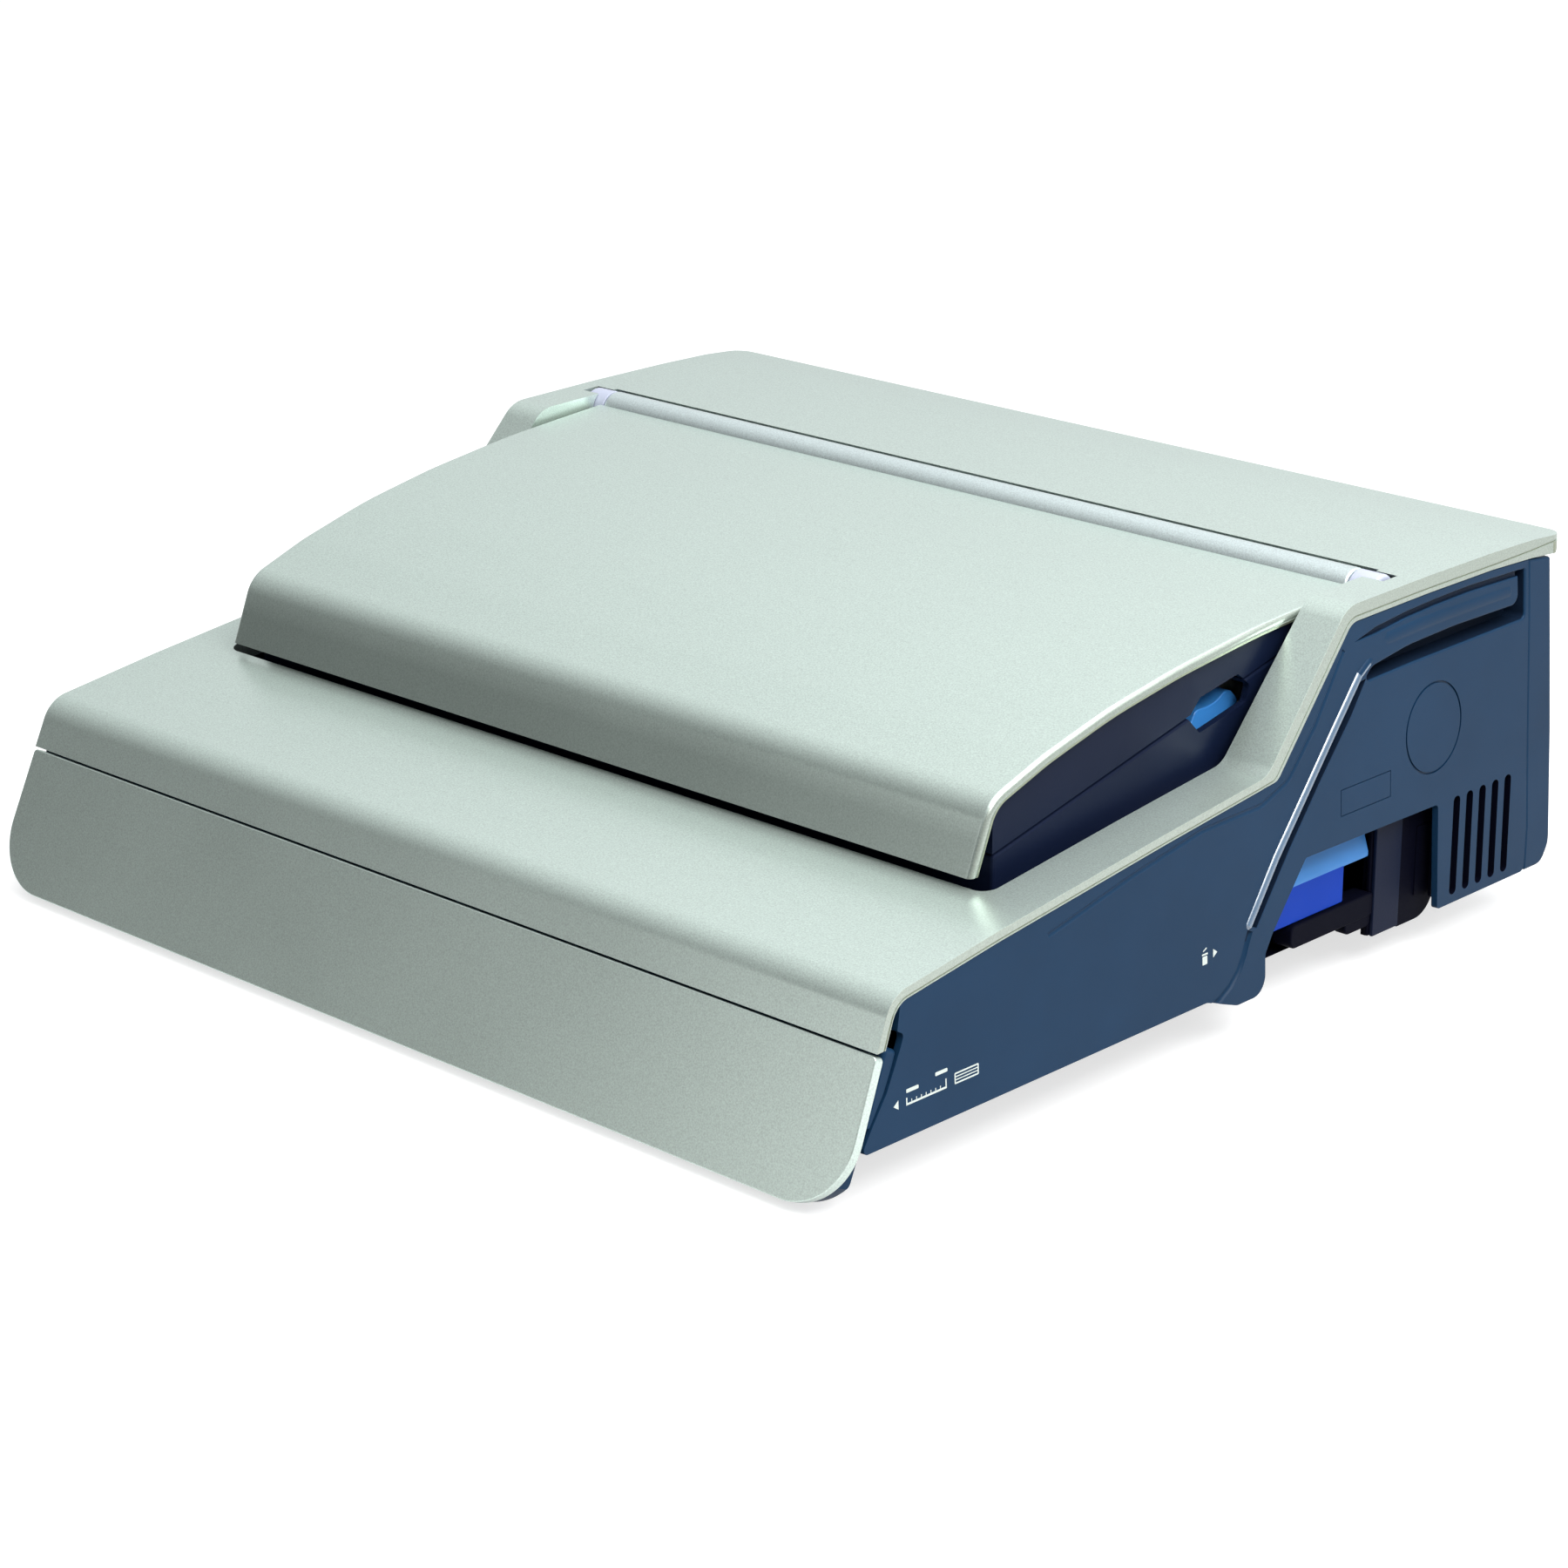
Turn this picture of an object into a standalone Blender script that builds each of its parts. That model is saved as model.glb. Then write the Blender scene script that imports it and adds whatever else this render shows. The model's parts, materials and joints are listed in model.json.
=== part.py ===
"""Electric wire binding machine: a desktop machine that punches a row of square holes and closes wire.

+X is the machine's right-hand side, +Y its back, +Z up. The origin is at the centre of the footprint
on the table. Lengths below are in millimetres and angles in degrees. The helpers scale them to metres.
Each sub-part is one object. A moving piece hangs from an empty on the axis of its joint.
"""

import math

import bmesh
import bpy
from mathutils import Matrix, Vector

MM = 0.001
GAP = 0.3

# The casing's envelope: the sides lean inward as they rise.
HALF_WIDTH_AT_TABLE = 250.1
SIDE_LEAN = 0.05
BACK = 229.8
SEAM_Y = -205.4
SEAM_Z = 60.6
FASCIA_TILT = 0.43
FASCIA_BOTTOM = 4.2
TRIM_DEPTH = 4.2
RIM_DEPTH = 7.2
SKIN = 2.4

# The silver cover's outline from the seam over the deck, the cheeks and the rear top.
COVER_CORNERS = [
    (SEAM_Y - 12 * FASCIA_TILT, SEAM_Z - 12),
    (-197.0, 80.1, 24),
    (-139.0, 88.2, 150),
    (-41.0, 99.9, 300),
    (23.3, 107.0, 12),
    (75.3, 164.1, 16),
    (130.0, 165.1, 300),
    (175.0, 165.2, 200),
    (205.0, 164.7, 150),
    (BACK, 163.0),
]
REAR_CORNER_RADIUS = 20

# The lid: its outline from below the front edge to the hinge barrel.
LID_FRONT = -119.5
LID_FRONT_Z = 95.2
LID_CORNERS = [
    (-124.3, 83.2),
    (-108.4, 123.3, 17),
    (-77.5, 134.1, 120),
    (-40.0, 143.9, 250),
    (0.0, 150.9, 300),
    (50.0, 156.9, 400),
    (112.0, 160.9),
]
LID_HALF_FRONT = 215.5
LID_HALF_REAR = 219.8
LID_REAR = 109.0
LID_EDGE = 4.0
OPENING_HALF = 222.0
OPENING_FRONT = -114.0

# The hinge barrel behind the lid.
HINGE_Y = 117.5
HINGE_Z = 157.4
BARREL_RADIUS = 8.5
BARREL_HALF = 216.0
PIN_RADIUS = 3.2
CAP_END = 229.4

# The sloping work surface under the lid. u runs up the slope and v stands off it.
SLOPE_Y = 6.2
SLOPE_Z = 127.1
SLOPE_ANGLE = 13.5
BODY_BOTTOM = 62.0
BODY_FRONT = -104.3
BODY_REAR = 104.0
THROAT_TOP = 145.6
WALL = 3.0

# The punch unit.
PITCH = 8.467
PIN_COUNT = 34
PIN_HALF = 1.8
HOLE_HALF = 2.1
PUNCH_Z = 120.0
DIE_FRONT = 77.7
DIE_THICKNESS = 6.0
PAPER_GAP = 5.2
PUNCH_STROKE = 14.0
FRAME_X = 160.0
FRAME_THICKNESS = 6.0
CAM_Y = 151.0
CAM_Z = PUNCH_Z
CAM_X = 120.0
CAM_START = 24.0
NOSE_RADIUS = 5.0
CAM_CLEARANCE = 0.35
SHAFT_RADIUS = 8.0

# The gear pair that turns the camshaft.
GEAR_MODULE = 4 / 3
GEAR_TEETH = 36
PINION_TEETH = 12
PRESSURE_ANGLE = 25.0
BACKLASH = 0.16
MOTOR_DIRECTION = -40.0
MOTOR_RADIUS = 20.0

# The wire closer: a lever turns two toothed sectors, which push the jaw's racks.
CLOSER_U = 12.0
CLOSER_V = -55.0
SECTOR_MODULE = 1.75
SECTOR_TEETH = 40
CLOSER_SHAFT_RADIUS = 5.0
RACK_X = 160.3
RACK_WIDTH = 7.4
LEVER_X = 197.0
LEVER_WIDTH = 10.0
JAW_HALF = 156.0

# The base, the front drawer and the waste drawer.
BASE_BOTTOM = 6.6
FLOOR = 9.1
BASE_HALF_LOW = 205.0
BASE_HALF = 238.0
BASE_SHOULDER = 24.0
BASE_TOP = 54.0
DRAWER_REAR = -16.0
DRAWER_TOP = 50.0
BIN_LEFT = -150.0
BIN_FACE = 236.0
BIN_BOTTOM = 33.6
BIN_TOP = 50.0
LIP_TOP = 60.7
PANEL_BOTTOM = 23.9
PANEL_REAR_BOTTOM = 19.8
FOOT_BOTTOM = 17.2

# The side panels' groove, which runs from the foot up to the hand grip, and the rib in front of it.
GROOVE_FRONT = [(13.5, 47.4), (31.0, 70.7), (50.6, 93.0), (70.3, 115.5), (84.3, 131.0)]
GROOVE_REAR = [(16.8, 46.1), (39.3, 74.4), (59.0, 96.8), (78.9, 118.2), (89.0, 131.6)]
RIB_LINE = [(9.5, 45.2), (12.0, 48.7), (29.5, 72.0), (49.1, 94.3), (68.8, 116.8), (82.8, 131.2), (86.5, 134.5)]
RIB_RADIUS = 2.2
CHANNEL_LINE = [(80.5, 148.4), (95.0, 150.1), (115.6, 152.0), (136.4, 152.9), (160.0, 153.3), (197.0, 152.4)]
CHANNEL_HALF = 1.2
CIRCLE_PLACE = (136.0, 99.8)
CIRCLE_RADIUS = 19.2

FINISHES = {
    "silver": ((0.60, 0.64, 0.58), 0.34, 0.55),
    "slate": ((0.040, 0.052, 0.088), 0.45, 0.0),
    "black": ((0.012, 0.013, 0.018), 0.50, 0.0),
    "charcoal": ((0.028, 0.032, 0.050), 0.50, 0.0),
    "blue": ((0.010, 0.060, 0.480), 0.35, 0.0),
    "pale": ((0.62, 0.64, 0.78), 0.30, 0.2),
    "steel": ((0.46, 0.47, 0.48), 0.30, 1.0),
    "zinc": ((0.58, 0.58, 0.56), 0.38, 1.0),
    "brass": ((0.62, 0.46, 0.18), 0.32, 1.0),
    "rubber": ((0.015, 0.015, 0.016), 0.85, 0.0),
    "nylon": ((0.70, 0.69, 0.64), 0.45, 0.0),
    "board": ((0.020, 0.150, 0.055), 0.45, 0.0),
}

AXES = {
    "x": Matrix(((0, 0, 1, 0), (1, 0, 0, 0), (0, 1, 0, 0), (0, 0, 0, 1))),
    "y": Matrix(((1, 0, 0, 0), (0, 0, -1, 0), (0, 1, 0, 0), (0, 0, 0, 1))),
    "z": Matrix.Identity(4),
}


# Scene, materials and placing

def clear_scene():
    for obj in list(bpy.data.objects):
        bpy.data.objects.remove(obj, do_unlink=True)


def add_collection(name, hidden=False):
    collection = bpy.data.collections.new(name)
    bpy.context.scene.collection.children.link(collection)
    collection.hide_render = hidden
    return collection


def link(obj, helper):
    (CUTTERS if helper else PARTS).objects.link(obj)
    obj.hide_render = helper
    if helper:
        obj.display_type = "WIRE"
    return obj


def evaluated_mesh(obj):
    graph = bpy.context.evaluated_depsgraph_get()
    return bpy.data.meshes.new_from_object(obj.evaluated_get(graph))


def flattened(mesh):
    """Merges the thin triangles that fill a flat outline into whole faces."""
    edit = bmesh.new()
    edit.from_mesh(mesh)
    bmesh.ops.dissolve_limit(edit, angle_limit=0.0005, verts=edit.verts, edges=edit.edges)
    edit.to_mesh(mesh)
    edit.free()
    return mesh


def welded(mesh):
    """Joins a mesh's loose caps to its sides and turns its faces outward."""
    edit = bmesh.new()
    edit.from_mesh(mesh)
    bmesh.ops.remove_doubles(edit, verts=edit.verts, dist=0.000002)
    bmesh.ops.recalc_face_normals(edit, faces=edit.faces)
    edit.to_mesh(mesh)
    edit.free()
    return mesh


def merge_flats(obj):
    """Merges the pieces that the cuts leave on a flat face."""
    planar = obj.modifiers.new("merge_flats", "DECIMATE")
    planar.decimate_type = "DISSOLVE"
    planar.angle_limit = math.radians(0.05)
    return obj


def finish(obj, look):
    """Gives a sub-part its own material and smooth shading with sharp edges kept."""
    if any(modifier.type == "BOOLEAN" for modifier in obj.modifiers):
        merge_flats(obj)
    colour, roughness, metallic = FINISHES[look]
    material = bpy.data.materials.new(obj.name + "_finish")
    material.use_nodes = True
    shader = material.node_tree.nodes["Principled BSDF"]
    shader.inputs["Base Color"].default_value = (*colour, 1.0)
    shader.inputs["Roughness"].default_value = roughness
    shader.inputs["Metallic"].default_value = metallic
    material.diffuse_color = (*colour, 1.0)
    obj.data.materials.clear()
    obj.data.materials.append(material)
    obj.data.shade_smooth()
    obj.data.set_sharp_from_angle(angle=math.radians(30))
    return obj


def axis_empty(name, y, z, x=0.0):
    """An empty on a joint's axis."""
    empty = bpy.data.objects.new(name, None)
    empty.location = Vector((x, y, z)) * MM
    PARTS.objects.link(empty)
    bpy.context.view_layer.update()
    return empty


def hang(empty, *pieces):
    """Parents pieces to an empty without moving them."""
    for piece in pieces:
        piece.parent = empty
        piece.matrix_parent_inverse = empty.matrix_world.inverted()


# Outlines

def rounded(corners, closed=True, step=14.0):
    """Corners (a, b) or (a, b, radius) as an outline whose corners are arcs."""
    count = len(corners)
    outline = []
    for index, corner in enumerate(corners):
        here = Vector(corner[:2])
        ends = not closed and index in (0, count - 1)
        if len(corner) == 2 or ends:
            outline.append(tuple(here))
            continue
        before = Vector(corners[index - 1][:2])
        after = Vector(corners[(index + 1) % count][:2])
        outline += corner_arc(before, here, after, corner[2], step)
    return outline


def corner_arc(before, here, after, radius, step):
    """The arc that rounds one corner, as points."""
    into = (here - before).normalized()
    out = (after - here).normalized()
    turn = math.atan2(into.x * out.y - into.y * out.x, into.dot(out))
    if abs(turn) < 0.01:
        return [tuple(here)]
    reach = radius * math.tan(abs(turn) / 2)
    reach = min(reach, 0.49 * (here - before).length, 0.49 * (after - here).length)
    radius = reach / math.tan(abs(turn) / 2)
    side = math.copysign(1, turn)
    start = here - into * reach
    centre = start + Vector((-into.y, into.x)) * radius * side
    pieces = max(1, math.ceil(abs(math.degrees(turn)) / max(step, smallest_step(radius))))
    points = []
    for index in range(pieces + 1):
        swing = turn * index / pieces
        arm = Matrix.Rotation(swing, 2) @ (start - centre)
        points.append(tuple(centre + arm))
    return points


def smallest_step(radius):
    """The coarsest angle between an arc's points that its size allows."""
    if radius < 2.5:
        return 45.0
    return 30.0 if radius < 7.0 else 12.0


def offset_line(line, distance):
    """An open line moved to the right of its direction, which is down for a line that runs to +Y."""
    moved = []
    for index, point in enumerate(line):
        here = Vector(point)
        normals = []
        if index > 0:
            along = (here - Vector(line[index - 1])).normalized()
            normals.append(Vector((along.y, -along.x)))
        if index < len(line) - 1:
            along = (Vector(line[index + 1]) - here).normalized()
            normals.append(Vector((along.y, -along.x)))
        mean = sum(normals, Vector((0, 0)))
        if len(normals) == 2:
            mean = mean / (1 + normals[0].dot(normals[1]))
        moved.append(tuple(here + mean * distance))
    return moved


def extended(line, y):
    """An open line continued straight from its last piece to a further y."""
    (y0, z0), (y1, z1) = line[-2:]
    return line[:-1] + [(y, z0 + (z1 - z0) * (y - y0) / (y1 - y0))]


def height_on(line, y):
    """The height of a line that runs to +Y, at one y."""
    for (y0, z0), (y1, z1) in zip(line, line[1:]):
        if y0 <= y <= y1:
            return z0 + (z1 - z0) * (y - y0) / (y1 - y0)
    return line[-1][1]


def between(line, low, high):
    """The part of a line that lies between two values of y, with its ends added."""
    inside = [point for point in line if low < point[0] < high]
    return [(low, height_on(line, low)), *inside, (high, height_on(line, high))]


def circle(radius, centre=(0.0, 0.0), sides=20, turn=0.0):
    points = []
    for index in range(sides):
        angle = math.radians(turn) + 2 * math.pi * index / sides
        points.append((centre[0] + radius * math.cos(angle), centre[1] + radius * math.sin(angle)))
    return points


def rectangle(a0, a1, b0, b1, radius=0.0):
    corners = [(a0, b0), (a1, b0), (a1, b1), (a0, b1)]
    if radius:
        corners = [(a, b, radius) for a, b in corners]
    return rounded(corners)


def half_width(z):
    """Half the casing's width at a height."""
    return HALF_WIDTH_AT_TABLE - SIDE_LEAN * z


def fascia_y(z):
    """The front face's plane at a height."""
    return SEAM_Y - FASCIA_TILT * (SEAM_Z - z)


def parting_z(y):
    """The line between the lid's liner and the work body."""
    return SLOPE_Z + math.tan(math.radians(SLOPE_ANGLE)) * (y - SLOPE_Y)


# Solids

def slab(name, outlines, along, start, end, helper=False):
    """Flat outlines given a thickness along one axis. An outline inside another is a hole."""
    curve = bpy.data.curves.new(name, "CURVE")
    curve.dimensions = "2D"
    curve.fill_mode = "BOTH"
    curve.extrude = abs(end - start) / 2 * MM
    for outline in outlines:
        spline = curve.splines.new("POLY")
        spline.points.add(len(outline) - 1)
        for point, (a, b) in zip(spline.points, outline):
            point.co = (a * MM, b * MM, 0, 1)
        spline.use_cyclic_u = True
    flat = bpy.data.objects.new(name + "_outline", curve)
    CUTTERS.objects.link(flat)
    mesh = evaluated_mesh(flat)
    bpy.data.objects.remove(flat, do_unlink=True)
    middle = (start + end) / 2 * MM
    if along == "y":
        middle = -middle
    mesh.transform(AXES[along] @ Matrix.Translation((0, 0, middle)))
    mesh.name = name
    return link(bpy.data.objects.new(name, flattened(welded(mesh))), helper)


def block(name, low, high, helper=False):
    """A box between two corners."""
    mesh = bpy.data.meshes.new(name)
    edit = bmesh.new()
    bmesh.ops.create_cube(edit, size=1.0)
    low, high = Vector(low), Vector(high)
    size = high - low
    bmesh.ops.scale(edit, vec=size * MM, verts=edit.verts)
    bmesh.ops.translate(edit, vec=(low + high) / 2 * MM, verts=edit.verts)
    edit.to_mesh(mesh)
    edit.free()
    return link(bpy.data.objects.new(name, mesh), helper)


def rod(name, radius, along, start, end, centre, sides=20, helper=False):
    """A cylinder along an axis. centre holds the other two coordinates."""
    mesh = bpy.data.meshes.new(name)
    edit = bmesh.new()
    bmesh.ops.create_cone(edit, cap_ends=True, segments=sides, radius1=radius * MM, radius2=radius * MM,
                          depth=abs(end - start) * MM)
    edit.to_mesh(mesh)
    edit.free()
    mesh.transform(AXES[along])
    mesh.transform(Matrix.Translation(on_axis(along, centre, (start + end) / 2)))
    return link(bpy.data.objects.new(name, mesh), helper)


def on_axis(along, centre, position):
    """The place of a point on an axis, from the axis's other two coordinates."""
    a, b = centre
    places = {"x": (position, a, b), "y": (a, position, b), "z": (a, b, position)}
    return Vector(places[along]) * MM


def turned(name, profile, along, centre, sides=20, helper=False):
    """A turned piece. The profile holds (radius, position on the axis) from one end to the other."""
    mesh = bpy.data.meshes.new(name)
    points = [(radius * MM, 0, position * MM) for radius, position in profile]
    edges = [(index, index + 1) for index in range(len(points) - 1)]
    if profile[0][0] > 0:
        edges.append((len(points) - 1, 0))
    mesh.from_pydata(points, edges, [])
    lathe = bpy.data.objects.new(name + "_profile", mesh)
    CUTTERS.objects.link(lathe)
    screw = lathe.modifiers.new("turn", "SCREW")
    screw.steps = sides
    screw.render_steps = sides
    screw.use_merge_vertices = True
    screw.merge_threshold = 0.00001
    screw.use_normal_calculate = True
    body = evaluated_mesh(lathe)
    bpy.data.objects.remove(lathe, do_unlink=True)
    body.transform(AXES[along])
    body.transform(Matrix.Translation(on_axis(along, centre, 0.0)))
    body.name = name
    return link(bpy.data.objects.new(name, welded(body)), helper)


def sweep(name, points, radius, helper=False):
    """A round bar along a line of points in space."""
    curve = bpy.data.curves.new(name, "CURVE")
    curve.dimensions = "3D"
    curve.bevel_depth = radius * MM
    curve.bevel_resolution = 1
    curve.use_fill_caps = True
    spline = curve.splines.new("POLY")
    spline.points.add(len(points) - 1)
    for point, place in zip(spline.points, points):
        point.co = (*(Vector(place) * MM), 1)
    bar = bpy.data.objects.new(name + "_path", curve)
    CUTTERS.objects.link(bar)
    mesh = evaluated_mesh(bar)
    bpy.data.objects.remove(bar, do_unlink=True)
    mesh.name = name
    return link(bpy.data.objects.new(name, welded(mesh)), helper)


def combine(target, other, operation):
    modifier = target.modifiers.new(operation.lower(), "BOOLEAN")
    modifier.operation = operation
    modifier.solver = "EXACT"
    modifier.object = other
    return target


def cut(target, *cutters):
    for cutter in cutters:
        combine(target, cutter, "DIFFERENCE")
    return target


def join(target, *others):
    for other in others:
        combine(target, other, "UNION")
    return target


def keep(target, *limits):
    for limit in limits:
        combine(target, limit, "INTERSECT")
    return target


def round_edges(obj, width, segments=2, angle=50):
    bevel = obj.modifiers.new("round", "BEVEL")
    bevel.width = width * MM
    bevel.segments = segments
    bevel.limit_method = "ANGLE"
    bevel.angle_limit = math.radians(angle)
    return obj


def envelope(name, inset=0.0, low=-5.0, high=180.0, front=-260.0, rear=BACK, radius=0.0):
    """A block whose sides lean inward as the casing's do, with its rear corners rounded."""
    half = half_width(0) - inset
    corners = [(-half, front), (half, front), (half, rear, radius), (-half, rear, radius)]
    solid = slab(name, [rounded(corners, step=12)], "z", low, high, helper=True)
    for vertex in solid.data.vertices:
        z = vertex.co.z / MM
        vertex.co.x *= (half_width(z) - inset) / half
    return solid


def lid_plan(name, inset=0.0, front=-140.0, rear=140.0, low=40.0, high=200.0):
    """A block with the lid's plan: a little wider at the hinge than at the front."""
    growth = (LID_HALF_REAR - LID_HALF_FRONT) / (LID_REAR - LID_FRONT)
    corners = []
    for side, y in ((-1, front), (1, front), (1, rear), (-1, rear)):
        half = LID_HALF_FRONT + growth * (y - LID_FRONT) - inset
        corners.append((side * half, y))
    return slab(name, [corners], "z", low, high, helper=True)


def slope_matrix():
    tilt = Matrix.Rotation(math.radians(SLOPE_ANGLE), 4, "X")
    return Matrix.Translation(Vector((0, SLOPE_Y, SLOPE_Z)) * MM) @ tilt


def on_slope(*objects):
    """Lays objects that were made in slope coordinates (x, u, v) on the work surface."""
    for obj in objects:
        obj.data.transform(slope_matrix())
    return objects[0]


def slope_point(u, v):
    """World y and z of a point in slope coordinates."""
    point = slope_matrix() @ Vector((0, u * MM, v * MM))
    return point.y / MM, point.z / MM


# Gears

def involute(angle):
    return math.tan(angle) - angle


def tooth_flank(module, teeth, points=2):
    """One flank of an external tooth as (radius, half angle) from the root to the tip."""
    pressure = math.radians(PRESSURE_ANGLE)
    pitch = module * teeth / 2
    base = pitch * math.cos(pressure)
    root = pitch - 1.25 * module
    tip = pitch + module
    middle = math.pi / (2 * teeth) - BACKLASH / (2 * pitch)
    start = max(root, base)
    flank = [] if root >= base else [(root, middle + involute(pressure))]
    for index in range(points):
        radius = start + (tip - start) * index / (points - 1)
        angle = math.acos(min(1.0, base / radius))
        flank.append((radius, middle + involute(pressure) - involute(angle)))
    return flank


def gear_outline(module, teeth, centre, first_tooth):
    """A whole gear with one tooth pointing at first_tooth degrees."""
    outline = []
    flank = tooth_flank(module, teeth)
    for index in range(teeth):
        middle = math.radians(first_tooth) + 2 * math.pi * index / teeth
        for radius, half in flank:
            outline.append((radius, middle - half))
        for radius, half in reversed(flank):
            outline.append((radius, middle + half))
    return [(centre[0] + r * math.cos(a), centre[1] + r * math.sin(a)) for r, a in outline]


def sector_outline(module, teeth, centre, middle_angle, count, hub):
    """A toothed sector: count teeth about middle_angle degrees, on a web that narrows to a hub."""
    flank = tooth_flank(module, teeth)
    spacing = 2 * math.pi / teeth
    outline = []
    for index in range(count):
        middle = math.radians(middle_angle) + (index - (count - 1) / 2) * spacing
        outline += [(radius, middle - half) for radius, half in flank]
        outline += [(radius, middle + half) for radius, half in reversed(flank)]
    points = [(centre[0] + r * math.cos(a), centre[1] + r * math.sin(a)) for r, a in outline]
    first = math.radians(middle_angle) + count / 2 * spacing
    last = math.radians(middle_angle) - count / 2 * spacing + 2 * math.pi
    for index in range(9):
        angle = first + (last - first) * (0.18 + 0.64 * index / 8)
        points.append((centre[0] + hub * math.cos(angle), centre[1] + hub * math.sin(angle)))
    return points


def rack_teeth(module, pitch_v, first_u, count):
    """The toothed lower edge of a rack, from -u to +u, as points."""
    pressure = math.tan(math.radians(PRESSURE_ANGLE))
    spacing = math.pi * module
    points = []
    for index in range(count):
        middle = first_u + index * spacing
        half = spacing / 4 - BACKLASH / 2
        root = half + 1.25 * module * pressure
        tip = half - module * pressure
        points.append((middle - root, pitch_v + 1.25 * module))
        points.append((middle - tip, pitch_v - module))
        points.append((middle + tip, pitch_v - module))
        points.append((middle + root, pitch_v + 1.25 * module))
    return points


def cam_outline():
    """The cam's edge: it lifts the ram's nose at a steady rate over half a turn, on both sides."""
    rate = PUNCH_STROKE / math.pi
    reach = NOSE_RADIUS + CAM_CLEARANCE
    half = []
    for index in range(17):
        lift = math.pi * index / 16
        radius = CAM_START + rate * lift
        position = Vector((radius * math.cos(lift), radius * math.sin(lift)))
        along = Vector((rate, radius)).normalized()
        tangent = Matrix.Rotation(lift, 2) @ along
        inward = Vector((-tangent.y, tangent.x))
        point = position + inward * reach
        if point.y > 0.05:
            half.append(point)
    tip = half[-1] + (half[-1] - half[-2]) * 0.2
    outline = [(CAM_START - reach, 0.0)] + [tuple(point) for point in half] + [(min(tip.x, half[-1].x), 0.0)]
    outline += [(point.x, -point.y) for point in reversed(half)]
    return [(CAM_Y - a, CAM_Z + b) for a, b in outline]


# The casing

def trim_line():
    """The silver cover's lower edge along the sides: deeper beside the cheek and the rear top."""
    line = rounded(COVER_CORNERS, closed=False)
    deck = [point for point in offset_line(line, TRIM_DEPTH) if point[0] < 21.0]
    rear = [point for point in offset_line(line, RIM_DEPTH) if 34.0 < point[0] < 200.0]
    corner = rounded([deck[-1], (29.8, 103.5, 6), rear[0]], closed=False)[1:-1]
    return deck + corner + rear + [(205.0, 157.0), (BACK + 20, 151.4)]


def make_top_cover():
    line = rounded(COVER_CORNERS, closed=False)
    depth = 11.0
    cover = slab("top_cover", [line + offset_line(line, depth)[::-1]], "x", -255, 255)
    keep(cover, envelope("cover_envelope", radius=REAR_CORNER_RADIUS))
    round_edges(cover, 3.2, 2)
    inner = offset_line(line, SKIN)[:-1]
    rear = BACK - SKIN
    hollow = slab("cover_hollow", [inner + [(rear, inner[-1][1]), (rear, 20), (inner[0][0], 20)]],
                  "x", -255, 255, helper=True)
    keep(hollow, envelope("cover_hollow_envelope", inset=SKIN, rear=rear, radius=REAR_CORNER_RADIUS - SKIN))
    skirt = trim_line()
    below = slab("cover_below", [skirt + [(BACK + 20, 10), (skirt[0][0], 10)]], "x", -260, 260, helper=True)
    seam = block("cover_seam", (-260, -260, 0), (260, -190, SEAM_Z), helper=True)
    cut(cover, hollow, below, seam)
    join(cover, *opening_walls(line))
    cut(cover, *cover_openings())
    return finish(cover, "silver")


def opening_walls(line):
    """The walls that hang from the edge of the opening for the lid, and the cheeks' inner walls."""
    walls = []
    curb = between(offset_line(line, 1.0), OPENING_FRONT - 2.4, 20)
    cheek = between(offset_line(line, 1.0), 10, 125)
    for side, tag in ((-1, "left"), (1, "right")):
        low, high = sorted((side * (OPENING_HALF - 3), side * (OPENING_HALF + SKIN)))
        edge = curb + [(y, z - 8) for y, z in reversed(curb)]
        walls.append(slab("curb_" + tag, [edge], "x", low, high, helper=True))
        face = cheek + [(125, 140), (112, 128), (60, 94), (10, 94)]
        walls.append(slab("cheek_" + tag, [face], "x", low, high, helper=True))
    front = height_on(line, OPENING_FRONT)
    walls.append(block("curb_front", (-OPENING_HALF - 1, OPENING_FRONT - 2.4, front - 9),
                       (OPENING_HALF + 1, OPENING_FRONT + 3, front - 1), helper=True))
    return walls


def cover_openings():
    plan = rounded([(-OPENING_HALF, OPENING_FRONT, 7), (OPENING_HALF, OPENING_FRONT, 7),
                    (OPENING_HALF, HINGE_Y + 0.5), (-OPENING_HALF, HINGE_Y + 0.5)])
    opening = slab("lid_opening", [plan], "z", 50, 200, helper=True)
    barrel = rod("barrel_clearance", BARREL_RADIUS + 1.7, "x", -OPENING_HALF, OPENING_HALF,
                 (HINGE_Y, HINGE_Z), 24, helper=True)
    caps = rod("cap_clearance", BARREL_RADIUS + 0.4, "x", -CAP_END - 3.0, CAP_END + 3.0,
               (HINGE_Y, HINGE_Z), 24, helper=True)
    return opening, barrel, caps


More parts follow.
